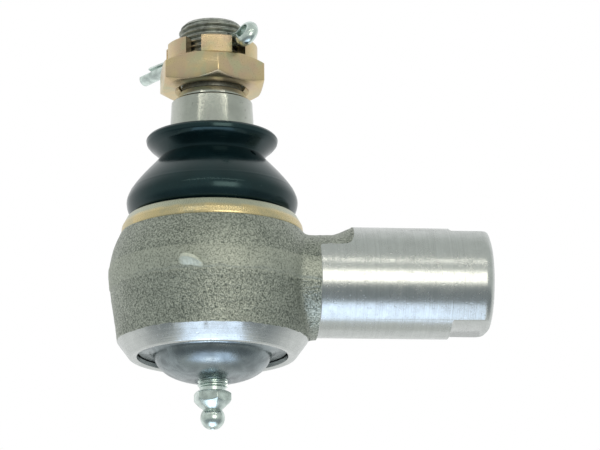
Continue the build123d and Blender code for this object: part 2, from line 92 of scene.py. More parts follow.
def colour(name, description, hex_colour):
    """A property that holds a colour."""
    return FloatVectorProperty(name=name, description=description, size=4, min=0, max=1,
                               default=linear(hex_colour), subtype="COLOR")


def low_mm(node):
    """A CAD node's lowest corner in millimetres."""
    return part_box(node)[0] / MM


def high_mm(node):
    """A CAD node's highest corner in millimetres."""
    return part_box(node)[1] / MM


class StudSizes(bpy.types.PropertyGroup):
    """Ball, cone and thread"""
    ball_r: length("Ball radius", "Radius of the ball", -low_mm("ball_stud").z)
    top_z: length("Stud top", "Height of the stud's end", high_mm("ball_stud").z)
    neck_r: length("Neck radius", "Narrowest place over the ball", 9.5)
    neck_blend: length("Neck fillet", "Fillet between ball and neck", 3.0)
    cone_low_z: length("Cone start", "Height where the cone starts", 24.0)
    cone_high_z: length("Cone end", "Height of the cone's small end", 50.0)
    cone_high_r: length("Cone small radius", "Radius of the cone's small end", 11.0)
    taper: number("Taper", "Length in which the cone loses one of diameter", 10.0)
    relief_r: length("Undercut radius", "Radius of the undercut under the thread", 8.4)
    bead_r: length("Shoulder bead", "Radius of the rounded shoulder over the cone", 9.15)
    bead_h: length("Bead height", "Height of that shoulder", 2.4)
    relief_high_z: length("Undercut top", "Height where the thread starts", 54.5)
    thread_r: length("Thread radius", "Outer radius of the M18 thread", 9.0)
    pitch: length("Thread pitch", "Pitch of the thread", 1.5)
    chamfer: length("End chamfer", "Chamfer at the thread's end", 1.5)
    centre_r: length("Centre hole", "Radius of the lathe's centre hole", 1.9)


class NutSizes(bpy.types.PropertyGroup):
    """Castle nut"""
    low_z: length("Nut underside", "Height of the nut's underside", low_mm("castle_nut").z)
    high_z: length("Crown top", "Height of the crown's top", high_mm("castle_nut").z)
    across_flats: length("Across flats", "Width over the hexagon's flats", 27.0)
    hex_h: length("Hexagon height", "Height of the hexagon", 7.6)
    crown_r: length("Crown radius", "Radius of the slotted crown", 12.5)
    bore_r: length("Bore radius", "Radius of the bore", 9.03)
    bore_chamfer: length("Bore chamfer", "Chamfer at the bore's mouth", 1.1)
    slot_w: length("Slot width", "Width of the six slots", 4.5)
    edge: length("Edge rounding", "Rounding of the nut's edges", 0.35)
    corner: angle("Corner direction", "Direction of one hexagon corner", -87.5)
    chamfer: angle("Corner chamfer", "Chamfer of the hexagon's corners", 30)


class PinSizes(bpy.types.PropertyGroup):
    """Split cotter pin"""
    wire_r: length("Wire radius", "Radius of the half-round wire", 1.8)
    split: length("Split", "Gap between the two legs", 0.1)
    eye_r: length("Eye radius", "Inner radius of the eye", 1.9)
    eye_blend: length("Eye neck", "Radius of the bend between leg and eye", 2.5)
    eye_reach: length("Eye reach", "How far the eye reaches from the stud's axis", 19.6)
    short_leg: length("Short leg", "Reach of the short leg from the stud's axis", 28.7)
    long_leg: length("Long leg", "Reach of the long leg from the stud's axis", 32.0)
    spread: length("Spread", "How far each leg's end is bent outwards", 0.7)
    drop: length("Drop", "How far the pin lies under the crown's top", 0.3)
    direction: angle("Direction", "Direction of the eye", -57.5)
    roll: angle("Roll", "How far the eye is rolled from upright", 22)


class HousingSizes(bpy.types.PropertyGroup):
    """Forged housing with its machined faces"""
    barrel_r: length("Barrel radius", "Widest place of the barrel", -low_mm("housing").x)
    shank_end_x: length("Shank end", "Place of the shank's end", high_mm("housing").x)
    collar_top_z: length("Collar top", "Height of the collar", high_mm("housing").z)
    lip_z: length("Rolled lip", "Height of the rolled lip's face", low_mm("housing").z)
    widest_z: length("Widest height", "Height of the barrel's widest place", 1.0)
    shoulder_r: length("Shoulder radius", "Radius of the shoulder under the boot ring", 24.7)
    shoulder_z: length("Shoulder height", "Height of that shoulder", low_mm("boot_retaining_ring").z)
    spigot_r: length("Spigot radius", "Radius of the spigot inside the ring", 22.9)
    spigot_h: length("Spigot height", "Height of that spigot", 0.8)
    collar_r: length("Collar radius", "Radius of the collar", 19.28)
    mouth_low_r: length("Mouth inside", "Swing opening at the seat", 14.05)
    mouth_high_r: length("Mouth outside", "Swing opening at the collar", 16.38)
    seat_z: length("Seat shoulder", "Height of the seat's shoulder", high_mm("upper_ball_seat").z)
    bore_r: length("Seat bore", "Radius of the bore for the seats", 20.5)
    cap_r: length("Cap seat", "Radius of the bore for the cap", 22.43)
    cone_r: length("Bottom cone radius", "Where the machined bottom cone starts", 25.4)
    cone_z: length("Bottom cone height", "Height of that edge", -16.8)
    lip_r: length("Lip radius", "Inner radius of the rolled lip", 20.2)
    lip_crown: length("Lip crown", "How far the lip bulges under its inner edge", 0.5)
    lip_crown_w: length("Crown place", "How far outside the inner edge it bulges most", 1.8)
    lip_shoulder_w: length("Lip shoulder", "How far its shoulder lies inside the cone's edge", 1.6)
    lip_shoulder_drop: length("Shoulder drop", "How far its shoulder lies under that edge", 2.15)
    neck_w: length("Neck half width", "Half width of the forged neck", 16.2)
    neck_top: length("Neck top", "Height of the neck's low top", 12.5)
    neck_low: length("Neck depth", "Depth of the neck under the middle", 15.6)
    turn_x: length("Turning start", "Where the turned shank starts", 27.9)
    rise_x: length("Rise start", "Where the forged top starts to rise", 31.5)
    full_x: length("Rise end", "Where the forged top is full", 38.0)
    shank_r: length("Shank radius", "Radius of the turned shank", 15.0)
    shank_round: length("Shank rounding", "Rounding of the shank's end", 2.5)
    flat_w: length("Wrench size", "Width over the wrench flats", 25.0)
    flat_length: length("Flat length", "Length of the wrench flats", 11.0)
    flat_roll: angle("Flat roll", "How far the flats are rolled about the shank", 3)
    bore_x: length("Thread end", "Where the inner thread ends", 36.5)
    drill_x: length("Drill end", "Where the drilled hole is full", 33.5)
    thread_r: length("Inner thread", "Outer radius of the M20 thread", 10.0)
    mouth_chamfer: length("Thread mouth", "Chamfer at the inner thread's mouth", 1.5)
    pitch: length("Inner pitch", "Pitch of the inner thread", 1.5)
    grain: length("Skin grain", "Size of the forged skin's dents", 1.3)
    skin: length("Skin depth", "Depth of the forged skin's dents", 0.07)
    flash_low_z: length("Flash low", "Lower edge of the trimmed flash band", -2.8)
    flash_high_z: length("Flash high", "Upper edge of the trimmed flash band", 3.4)
    flash_rise: length("Flash rise", "How far the flash band stands out", 0.2)
    stub: angle("Stub direction", "Direction of the torn gate stub", -105.5)
    stub_w: length("Stub width", "Width of the stub", 6.4)
    stub_h: length("Stub height", "Height of the stub", 2.9)
    stub_out: length("Stub rise", "How far the stub stands out", 2.2)
    voxel: length("Blank mesh", "Mesh size of the forged blank", 0.42)
    blend_steps: IntProperty(name="Forging fillet", description="Smoothing of the forged blank",
                             default=42)


class CapSizes(bpy.types.PropertyGroup):
    """Closure cap"""
    high_z: length("Flange top", "Height of the flange's upper face", high_mm("closure_cap").z)
    low_z: length("Dome bottom", "Lowest place of the dome", low_mm("closure_cap").z)
    flange_r: length("Flange radius", "Radius of the flange", high_mm("closure_cap").x)
    sheet: length("Sheet", "Thickness of the sheet", 2.3)
    step_r: length("Step radius", "Radius of the step that the lip is rolled against", 19.95)
    step: length("Step", "How far the flange stands out inside the lip", 0.9)
    root_r: length("Dome root", "Radius of the dome's root", 15.9)
    hole_r: length("Hole", "Radius of the nipple's hole", 4.03)
    hole_chamfer: length("Hole chamfer", "Countersink of that hole", 1.0)
    power: number("Fullness", "Two is an elliptical dome, more is fuller", 2.4)


class NippleSizes(bpy.types.PropertyGroup):
    """Grease nipple"""
    high_z: length("Inner end", "Height of the end inside the cap", high_mm("grease_nipple").z)
    low_z: length("Tip", "Height of the tip", low_mm("grease_nipple").z)
    thread_r: length("Thread radius", "Outer radius of the M8 thread", 4.0)
    pitch: length("Pitch", "Pitch of the thread", 1.0)
    relief_r: length("Undercut", "Radius of the undercut over the hexagon", 3.45)
    hex_high_z: length("Hexagon top", "Height of the hexagon's upper face", -30.4)
    across_flats: length("Across flats", "Width over the hexagon's flats", 9.0)
    cone_r: length("Cone radius", "Radius where the cone meets the hexagon", 4.6)
    cone_z: length("Cone height", "Height of that place", -33.2)
    neck_r: length("Neck radius", "Radius of the coupler groove", 2.55)
    head_r: length("Head radius", "Radius of the head", 3.25)
    tip_r: length("Tip radius", "Radius of the flat tip", 1.5)
    bore_r: length("Bore radius", "Radius of the valve's bore", 1.45)
    orifice_r: length("Orifice", "Radius of the grease hole", 0.8)
    corner: angle("Corner direction", "Direction of one hexagon corner", -79)


class BootSizes(bpy.types.PropertyGroup):
    """Dust boot"""
    low_z: length("Foot", "Height of the foot", low_mm("dust_boot").z)
    high_z: length("Rim", "Height of the rim", high_mm("dust_boot").z)
    bulge_r: length("Bulge radius", "Widest place of the boot", high_mm("dust_boot").x)
    bulge_z: length("Bulge height", "Height of that place", 21.5)
    wall: length("Wall", "Thickness of the rubber", 2.2)
    rim_r: length("Rim radius", "Radius of the lip's rim", 17.9)
    face_drop: length("Lip dish", "How far the lip's face drops to the stud", 0.6)
    waist_r: length("Waist radius", "Radius of the crease under the rim", 14.05)
    waist_z: length("Waist height", "Height of that crease", 34.1)
    gap: length("Stud gap", "Gap to the stud's cone", 0.3)
    foot_r: length("Foot radius", "Inner radius of the foot", 19.58)
    vent_r: length("Vent", "Radius of the vent hole", 0.75)
    vent: angle("Vent direction", "Direction of the vent hole", -47)


class RingSizes(bpy.types.PropertyGroup):
    """Boot retaining ring"""
    low_z: length("Lower edge", "Height of the lower edge", low_mm("boot_retaining_ring").z)
    high_z: length("Upper edge", "Height of the upper edge", high_mm("boot_retaining_ring").z)
    low_r: length("Lower radius", "Radius at the lower edge", high_mm("boot_retaining_ring").x)
    high_r: length("Upper radius", "Radius at the upper edge", 22.9)
    sheet: length("Sheet", "Thickness of the sheet", 1.3)


class Finishes(bpy.types.PropertyGroup):
    """Colours of the materials"""
    forged_dark: colour("Forged, pits", "Pits of the blasted forging", "#596058")
    forged_light: colour("Forged, peaks", "Peaks of the blasted forging", "#BCC1B4")
    flash_grey: colour("Trimmed flash", "Sheared band along the parting line", "#BDC1B3")
    turned: colour("Turned steel", "Turned and bored faces", "#CBCFCC")
    ground: colour("Ground steel", "Ball, cone and thread of the stud", "#B9BDB4")
    zinc_yellow: colour("Yellow zinc", "Chromate film, straw", "#D6C295")
    zinc_rose: colour("Yellow zinc, rose", "Chromate film where it is thicker", "#CDB598")
    zinc_green: colour("Yellow zinc, green", "Chromate film where it is thinner", "#C2BF9B")
    strip_reflection_grey: colour("Zinc strip", "Upper band of the boot ring", "#B7BAA4")
    # Painted reflection: the boot ring's grey upper band and gold lower band paint the different
    # light that the two bands reflect.
    strip_gold: colour("Zinc strip, rolled", "Lower band of the boot ring", "#D2C193")
    zinc_clear: colour("Clear zinc", "Blue passivated zinc", "#D3E0DA")
    pressed: colour("Pressed steel", "Sheet of the closure cap", "#929C9E")
    rubber: colour("Rubber", "Moulded chloroprene", "#08171A")
    rubber_gloss: colour("Rubber gloss", "Tint of the boot's reflections", "#C4F2F4")
    dust: colour("Dust", "Specks of dust on the boot", "#5C6668")
    acetal: colour("Acetal", "Ball seats", "#E4E0D2")
    seal: colour("Seal rubber", "Cap seal", "#1B1B1B")
    spring: colour("Spring steel", "Springs", "#6E6F70")


class StageSizes(bpy.types.PropertyGroup):
    """Camera, light and floor"""
    distance: length("Camera distance", "From the camera to what it looks at", 750)
    lens: number("Lens", "Focal length of the camera in millimetres", 167.8)
    elevation: angle("Elevation", "How far the camera looks up", 15.0)
    azimuth: angle("Azimuth", "How far the camera is turned to the shank", -5.6)
    roll: angle("Roll", "How far the camera is rolled", 0.6)
    aim_right: length("Aim right", "How far right of the ball the camera aims", 23.66)
    aim_up: length("Aim up", "How far over the ball the camera aims", 14.8)
    floor_z: length("Floor", "Height of the floor", -1000)
    floor_r: length("Floor radius", "Radius of the floor", 850)
    floor: colour("Floor", "Colour of the floor", "#F2F2F0")


class TieRodEnd(bpy.types.PropertyGroup):
    """All sizes and colours of the tie rod end"""
    stud: PointerProperty(type=StudSizes)
    nut: PointerProperty(type=NutSizes)
    pin: PointerProperty(type=PinSizes)
    housing: PointerProperty(type=HousingSizes)
    cap: PointerProperty(type=CapSizes)
    nipple: PointerProperty(type=NippleSizes)
    boot: PointerProperty(type=BootSizes)
    ring: PointerProperty(type=RingSizes)
    finishes: PointerProperty(type=Finishes)
    stage: PointerProperty(type=StageSizes)


def sizes_of(context, part):
    """A part's lengths in millimetres, its angles in radians and its numbers."""
    group, values = getattr(context.scene.tie_rod_end, part), {}
    for prop in group.bl_rna.properties:
        if prop.identifier in ("rna_type", "name"):
            continue
        value = getattr(group, prop.identifier)
        values[prop.identifier] = value / MM if prop.unit == "LENGTH" else value
    return SimpleNamespace(**values)


# ---- Mesh making -----------------------------------------------------------------------------
ROUND_STEPS = 4         # faces in a rounded corner
MOST_OF_EDGE = 0.49     # a fillet takes at most this share of the edge beside it
THREAD_STEPS = 14       # rows in one turn of a thread
CREASE_DEG = 35         # an edge sharper than this stays crisp
WELD = 1e-3 * MM        # points closer than this are joined
EDGE = 0.3              # rounding of an ordinary machined edge
FINE_EDGE = 0.2         # and of a finely broken one
NUT_SHARPNESS = 140     # the larger, the smaller the rounding of a hexagon's corners
NIPPLE_SHARPNESS = 90
OUTER_THREAD = 0.61     # depth of an outer thread, as a share of its pitch
INNER_THREAD = 0.54
EVEN_ANGLES = np.linspace(0, 2 * math.pi, 192, endpoint=False)


def rounded(corners, closed=True):
    """An outline whose corners (radius, height, fillet) are rounded by their fillets."""
    outline = []
    count = len(corners)
    for i, corner in enumerate(corners):
        here = np.array(corner[:2], float)
        fillet = corner[2] if len(corner) > 2 else 0
        if not fillet or (not closed and i in (0, count - 1)):
            outline.append(tuple(here))
            continue
        back = np.array(corners[i - 1][:2]) - here
        ahead = np.array(corners[(i + 1) % count][:2]) - here
        back_length, ahead_length = np.linalg.norm(back), np.linalg.norm(ahead)
        back, ahead = back / back_length, ahead / ahead_length
        half = math.acos(np.clip(back @ ahead, -1, 1)) / 2
        reach = min(fillet / math.tan(half), MOST_OF_EDGE * min(back_length, ahead_length))
        middle = back + ahead
        centre = here + middle / np.linalg.norm(middle) * reach / math.cos(half)
        start, end = here + back * reach - centre, here + ahead * reach - centre
        first = math.atan2(start[1], start[0])
        turn = (math.atan2(end[1], end[0]) - first + math.pi) % (2 * math.pi) - math.pi
        radius = np.linalg.norm(start)
        for k in range(ROUND_STEPS + 1):
            a = first + turn * k / ROUND_STEPS
            outline.append((centre[0] + radius * math.cos(a), centre[1] + radius * math.sin(a)))
    return outline


def arc(centre, radius, start_deg, end_deg, steps):
    """Points of an arc in the outline's plane."""
    angles = np.radians(np.linspace(start_deg, end_deg, steps + 1))
    return [(centre[0] + radius * math.cos(a), centre[1] + radius * math.sin(a)) for a in angles]


def bow(start, start_pull, end, end_pull, steps):
    """Points of a smooth curve that leaves start along start_pull and arrives along end_pull."""
    start, start_pull = np.array(start, float), np.array(start_pull, float)
    end, end_pull = np.array(end, float), np.array(end_pull, float)
    points = []
    for t in np.linspace(0, 1, steps + 1):
        points.append(tuple(
            (2 * t**3 - 3 * t**2 + 1) * start + (t**3 - 2 * t**2 + t) * start_pull
            + (3 * t**2 - 2 * t**3) * end + (t**3 - t**2) * end_pull
        ))
    return points


def circles(outline, angles=EVEN_ANGLES, along_x=False):
    """Loops of points that an outline makes when it is turned about Z, or about X."""
    loops = []
    for r, z in outline:
        r, z = np.broadcast_to(r, angles.shape), np.broadcast_to(z, angles.shape)
        across, over = r * np.cos(angles), r * np.sin(angles)
        loops.append(np.stack([z, across, over] if along_x else [across, over, z], 1))
    return loops


def skin(name, loops, closed=True):
    """A mesh object over loops of points: one closed round, or ending in flat faces."""
    count, size = len(loops), len(loops[0])
    points = np.concatenate(loops) * MM
    faces = []
    for i in range(count if closed else count - 1):
        here, there = i * size, (i + 1) % count * size
        for j in range(size):
            k = (j + 1) % size
            faces.append((here + j, here + k, there + k, there + j))
    if not closed:
        faces += [tuple(range(size)), tuple(range((count - 1) * size, count * size))]
    mesh = bpy.data.meshes.new(name)
    mesh.from_pydata(points.tolist(), [], faces)
    tidy(mesh)
    made = bpy.data.objects.new(name, mesh)
    bpy.context.scene.collection.objects.link(made)
    return made


def tidy(mesh):
    """Joins doubled points, drops faces without area and turns all normals outwards."""
    work = bmesh.new()
    work.from_mesh(mesh)
    bmesh.ops.remove_doubles(work, verts=work.verts, dist=WELD)
    bmesh.ops.dissolve_degenerate(work, edges=work.edges, dist=WELD)
    bmesh.ops.recalc_face_normals(work, faces=work.faces)
    work.to_mesh(mesh)
    work.free()


def thread(low_z, high_z, pitch, crest_r, root_r, limit, angles=EVEN_ANGLES):
    """Outline rows of a single-start thread whose radius stays under limit(height)."""
    turn = pitch * angles / (2 * math.pi)
    root_share, flank_share = 0.25, 0.6
    rows = []
    for k in range(round((high_z - low_z) / pitch + 1) * THREAD_STEPS + 1):
        z = np.clip(low_z - pitch + k * pitch / THREAD_STEPS + turn, low_z, high_z)
        share = ((z - turn) / pitch) % 1
        flank = np.clip((np.abs(2 * share - 1) - root_share) / flank_share, 0, 1)
        rows.append((np.minimum(root_r + (crest_r - root_r) * flank, limit(z)), z))
    return rows


def hexagon_angles(corner):
    """Angles all round, closer together at a hexagon's corners."""
    near_deg = [0, 0.4, 0.8, 1.2, 1.7, 2.4]
    half = np.radians(np.concatenate([near_deg, np.arange(3.6, 30.1, 2.4)]))
    around = [corner + math.pi / 3 * k + side * half for k in range(6) for side in (1, -1)]
    return np.unique(np.round(np.concatenate(around) % (2 * math.pi), 7))


def hexagon_r(across_flats, corner, angles, sharpness):
    """A hexagon's radius at each angle, with its corners a little rounded."""
    total = 0
    for k in range(6):
        flat = corner + math.pi / 6 + math.pi / 3 * k
        total = total + np.maximum(np.cos(angles - flat), 0) ** sharpness
    return across_flats / 2 / total ** (1 / sharpness)


def settle(made):
    """Makes an object's modifiers part of its mesh."""
    depsgraph = bpy.context.evaluated_depsgraph_get()
    mesh = bpy.data.meshes.new_from_object(made.evaluated_get(depsgraph))
    old = made.data
    made.modifiers.clear()
    made.data = mesh
    bpy.data.meshes.remove(old)


def carve(made, tool, operation="DIFFERENCE"):
    """Cuts made with tool, whose faces keep their own material, and removes tool."""
    modifier = made.modifiers.new(operation.lower(), "BOOLEAN")
    modifier.operation = operation
    modifier.object = tool
    modifier.solver = "MANIFOLD"
    modifier.material_mode = "TRANSFER"
    settle(made)
    bpy.data.objects.remove(tool)


def coated(made, *materials):
    """Gives an object its materials, the first on every face."""
    made.data.materials.clear()
    for material in materials:
        made.data.materials.append(material)
    return made


def shade(made):
    """Smooth shading, but crisp at sharp edges and where two finishes meet."""
    mesh = made.data
    mesh.shade_smooth()
    mesh.set_sharp_from_angle(angle=math.radians(CREASE_DEG))
    work = bmesh.new()
    work.from_mesh(mesh)
    for edge in work.edges:
        if len({face.material_index for face in edge.link_faces}) > 1:
            edge.smooth = False
    work.to_mesh(mesh)
    work.free()


def place(made, body, node):
    """Shades a finished piece, lets it ride on its body and stand for its CAD node."""
    shade(made)
    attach(made, body)
    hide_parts(node)


# ---- Materials -------------------------------------------------------------------------------
# The kinds of node that come often, with their settings.
ADD, MULTIPLY, MULTIPLY_ADD, SQRT = (
    {"kind": "ShaderNodeMath", "operation": name}
    for name in ("ADD", "MULTIPLY", "MULTIPLY_ADD", "SQRT")
)
RANGE = {"kind": "ShaderNodeMapRange"}
MIX = {"kind": "ShaderNodeMix", "data_type": "RGBA", "output": 2}
PATTERN_LOW, PATTERN_HIGH = 0.3, 0.7        # where nearly all of a pattern lies


def add_node(tree, inputs, kind, output=0, **settings):
    """Adds a node with its settings, values and links, and gives one of its outputs."""
    made = tree.nodes.new(kind)
    for name, value in settings.items():
        setattr(made, name, value)
    for socket, value in inputs.items() if isinstance(inputs, dict) else enumerate(inputs):
        if isinstance(value, bpy.types.NodeSocket):
            tree.links.new(value, made.inputs[socket])
        else:
            made.inputs[socket].default_value = value
    return made.outputs[output] if len(made.outputs) else None


def new_material(name):
    """An empty material and its node tree."""
    material = bpy.data.materials.new(name)
    material.use_nodes = True
    material.node_tree.nodes.clear()
    return material, material.node_tree


def toned(colour_value, share):
    """A colour made darker or lighter."""
    return [min(1, c * share) for c in colour_value[:3]] + [1]


def axes(tree):
    """The X, Y and Z of each place on a piece."""
    spot = add_node(tree, (), "ShaderNodeTexCoord", "Object")
    return add_node(tree, (spot,), "ShaderNodeSeparateXYZ").node.outputs


def grains(tree, size_mm, detail=2.0, rough=0.55, vector=None, stretch=0.0):
    """A cloudy pattern whose grains have a real size."""
    if vector is None:
        vector = add_node(tree, (), "ShaderNodeTexCoord", "Object")
    return add_node(tree, {
        "Vector": vector, "Scale": 1 / (size_mm * MM), "Detail": detail, "Roughness": rough,
        "Distortion": stretch,
    }, "ShaderNodeTexNoise", "Fac")


def turned_grooves(tree, pitch_mm, along_x):
    """Uneven tool marks that run round the axis, pitch_mm apart on average."""
    x, y, z = axes(tree)
    axis, one, two = (x, y, z) if along_x else (z, x, y)
    square = add_node(tree, (one, one), **MULTIPLY)
    square = add_node(tree, (two, two, square), **MULTIPLY_ADD)
    away = add_node(tree, (square,), **SQRT)
    along = add_node(tree, (axis, away), **ADD)
    wander_size_mm, wander_mm = 9.0, 0.15
    wander = grains(tree, wander_size_mm, 1.0)
    wander = add_node(tree, (wander, wander_mm * MM), **MULTIPLY)
    vector = add_node(tree, (along, wander), "ShaderNodeCombineXYZ")
    return grains(tree, pitch_mm, 2.0, 0.6, vector)


def clouded(tree, pattern, low, high, most, first, second):
    """The first colour, turning to the second, at most by that share, where the pattern is high."""
    share = add_node(tree, (pattern, low, high, 0, most), **RANGE)
    return add_node(tree, {0: share, 6: first, 7: second}, **MIX)


def finish(tree, base, rough, height, depth_mm, strength=1.0, metallic=1.0, **more):
    """Ends a material: its colour and roughness on a bump of a real depth.

    The roughness is a number, a link, or a pattern with the roughness of its low and high parts.
    """
    if isinstance(rough, tuple):
        pattern, low, high = rough
        rough = add_node(tree, (pattern, PATTERN_LOW, PATTERN_HIGH, low, high), **RANGE)
    bump = add_node(tree, {
        "Strength": strength, "Distance": depth_mm * MM, "Height": height,
    }, "ShaderNodeBump")
    shader = add_node(tree, {
        "Base Color": base, "Metallic": metallic, "Roughness": rough, "Normal": bump, **more,
    }, "ShaderNodeBsdfPrincipled")
    add_node(tree, {"Surface": shader}, "ShaderNodeOutputMaterial")


def shot_blasted_forging(finishes, housing):
    """Carbon steel, drop forged and shot blasted: dull grey that sparkles in the light."""
    material, tree = new_material("shot_blasted_forging")
    # The shot's dents are a third of a millimetre wide; drawn a little coarser so that they show.
    grit = grains(tree, 0.42, 2.5, 0.7)
    pits = grains(tree, 0.8, 2.0, 0.6)
    scale = grains(tree, 7.0, 3.0)
    # The trimmed flash band is smooth and pale, with edges that wander by half a millimetre.
    soft, ragged = 0.35 * MM, 1.2 * MM
    low, high = housing.flash_low_z * MM, housing.flash_high_z * MM
    height = add_node(tree, (grains(tree, 2.5), ragged, axes(tree)[2]), **MULTIPLY_ADD)
    over = add_node(tree, (height, low, low + soft, 0, 1), **RANGE)
    under = add_node(tree, (height, high + soft, high + 2 * soft, 1, 0), **RANGE)
    band = add_node(tree, (over, under), **MULTIPLY)
    tone = add_node(tree, (pits, 0.15), **MULTIPLY)
    tone = add_node(tree, (grit, 0.9, tone), **MULTIPLY_ADD)
    tone = add_node(tree, (scale, 0.1, tone), **MULTIPLY_ADD)
    tone = add_node(tree, (tone, 0.43, 0.72, 0, 1), **RANGE)
    blasted = add_node(tree, {0: tone, 6: finishes.forged_dark, 7: finishes.forged_light}, **MIX)
    calm = add_node(tree, (tone, 0, 1, 0.35, 0.75), **RANGE)
    sheared = add_node(tree, {0: calm, 6: blasted, 7: finishes.flash_grey}, **MIX)
    share = add_node(tree, (band, 0.85), **MULTIPLY)
    base = add_node(tree, {0: share, 6: blasted, 7: sheared}, **MIX)
    calmer = add_node(tree, (band, 0, 1, 1.0, 0.4), **RANGE)
    bumps = add_node(tree, (pits, 0.8, grit), **MULTIPLY_ADD)
    bumps = add_node(tree, (bumps, calmer), **MULTIPLY)
    rough = add_node(tree, (grit, 0.3, 0.7, 0.5, 0.32), **RANGE)
    rough = add_node(tree, (band, 0.14, rough), **MULTIPLY_ADD)
    finish(tree, base, rough, bumps, 0.2, 0.9, 0.9)
    return material


def torn_steel(finishes):
    """Carbon steel, sheared off hot: light, matt and torn."""
    material, tree = new_material("sheared_forging_steel")
    tear = grains(tree, 0.7, 3.0, 0.6)
    pale = toned(finishes.flash_grey, 1.3)
    base = clouded(tree, tear, PATTERN_LOW, PATTERN_HIGH, 1, pale, finishes.forged_light)
    finish(tree, base, 0.55, tear, 0.1, 0.6, 0.5)
    return material


def turned_steel(finishes, along_x):
    """Carbon steel, turned on a lathe: bright, with fine rings that smear the reflections."""
    material, tree = new_material("turned_steel_shank" if along_x else "turned_steel_face")
    # The feed is about 0.15 mm a turn; drawn at twice that so that the rings show.
    rings = turned_grooves(tree, 0.3, along_x)
    smudge = grains(tree, 3.0, 4.0, 0.65)
    nicks = add_node(tree, (grains(tree, 0.8, 1.0, 0.5), 0.68, 0.72, 0, 1), **RANGE)
    coarse = turned_grooves(tree, 1.1, along_x)
    share = add_node(tree, (smudge, 0.3, 0.7, 0, 0.4), **RANGE)
    for marks, low, most in ((rings, 0.35, 0.25), (coarse, 0.4, 0.15)):
        streaks = add_node(tree, (marks, low, 0.65, 0, most), **RANGE)
        share = add_node(tree, (share, streaks), **ADD)
    base = add_node(tree, {0: share, 6: finishes.turned, 7: toned(finishes.turned, 0.72)}, **MIX)
    height = add_node(tree, (nicks, -0.6, rings), **MULTIPLY_ADD)
    finish(tree, base, (smudge, 0.2, 0.3), height, 0.03, 0.75)
    return material


def ground_steel(finishes):
    """Hardened alloy steel, ground: a soft satin with hardly any grain."""
    material, tree = new_material("ground_alloy_steel")
    rings = turned_grooves(tree, 0.22, False)
    smudge = grains(tree, 4.0, 3.0)
    specks = add_node(tree, (grains(tree, 1.1, 1.0), 0.7, 0.74, 0, 1), **RANGE)
    share = add_node(tree, (smudge, 0.35, 0.7, 0, 0.5), **RANGE)
    share = add_node(tree, (share, specks), **ADD)
    base = add_node(tree, {0: share, 6: finishes.ground, 7: toned(finishes.ground, 0.72)}, **MIX)
    finish(tree, base, (smudge, 0.14, 0.2), rings, 0.01, 0.6)
    return material


def shaded_thread_steel(finishes):
    """The stud's thread, turned: rougher than the cone, and darker in clouds, which is painted shade
    for the nut's shadow.
    """
    material, tree = new_material("oiled_thread_steel")
    shade_cloud = grains(tree, 1.5, 4.0, 0.7)
    # Painted shade: a darker copy of the ground steel, in clouds, stands in for the nut's shadow.
    base = clouded(tree, shade_cloud, 0.35, 0.7, 1, finishes.ground, toned(finishes.ground, 0.38))
    finish(tree, base, (shade_cloud, 0.3, 0.5), shade_cloud, 0.02, 0.6)
    return material


def yellow_zinc(finishes):
    """Steel, zinc plated and yellow passivated: straw that drifts to rose and green."""
    material, tree = new_material("yellow_zinc_plating")
    rosy = grains(tree, 7.0, 2.0, 0.5, stretch=0.6)
    green = grains(tree, 5.0, 2.0, 0.5, stretch=0.4)
    film = clouded(tree, rosy, 0.4, 0.62, 0.9, finishes.zinc_yellow, finishes.zinc_rose)
    film = clouded(tree, green, 0.5, 0.68, 0.8, film, finishes.zinc_green)
    rings = turned_grooves(tree, 0.45, False)
    grain = grains(tree, 0.25, 2.0)
    height = add_node(tree, (grain, 0.3, rings), **MULTIPLY_ADD)
    finish(tree, film, (grain, 0.26, 0.36), height, 0.006, 0.5)
    return material


def zinc_strip(finishes, knee_z):
    """Steel strip, zinc plated: painted olive grey above its bend and golden below, a painted
    reflection of the different light the two bands catch.
    """
    material, tree = new_material("rolled_zinc_strip")
    cloud = grains(tree, 5.0, 3.0, 0.6, stretch=0.5)
    height = add_node(tree, (cloud, 0.8 * MM, axes(tree)[2]), **MULTIPLY_ADD)
    # Painted reflection: grey over the bend, gold under it, split by height.
    rolled = add_node(tree, (height, (knee_z + 0.7) * MM, (knee_z + 1.5) * MM, 1, 0), **RANGE)
    base = add_node(tree, {0: rolled, 6: finishes.strip_reflection_grey, 7: finishes.strip_gold}, **MIX)
    base = clouded(tree, cloud, 0.45, 0.75, 0.6, base, toned(finishes.strip_reflection_grey, 0.8))
    rings = turned_grooves(tree, 0.6, False)
    grain = grains(tree, 0.3, 2.0)
    bumps = add_node(tree, (rings, grain), **ADD)
    finish(tree, base, (grain, 0.24, 0.36), bumps, 0.02, 0.6)
    return material


def clear_zinc(finishes):
    """Steel, zinc plated and blue passivated: pale and bright, a little green."""
    material, tree = new_material("clear_zinc_plating")
    film = grains(tree, 2.2, 2.0)
    pale, dull = toned(finishes.zinc_clear, 1.12), toned(finishes.zinc_clear, 0.74)
    base = clouded(tree, film, 0.35, 0.65, 1, pale, dull)
    grain = grains(tree, 0.35, 2.0)
    finish(tree, base, (film, 0.2, 0.34), grain, 0.012, 0.5)
    return material


def pressed_sheet(finishes):
    """Mild steel sheet, deep drawn and phosphated: grey with cloudy, half-bright smears."""
    material, tree = new_material("drawn_steel_sheet")
    cloud = grains(tree, 4.5, 4.0, 0.6, stretch=0.5)
    fine = grains(tree, 0.5, 3.0, 0.6)
    base = clouded(tree, cloud, 0.35, 0.65, 1, finishes.pressed, toned(finishes.pressed, 0.62))
    height = add_node(tree, (cloud, 2.0, fine), **MULTIPLY_ADD)
    finish(tree, base, (cloud, 0.2, 0.36), height, 0.035, 0.6)
    return material


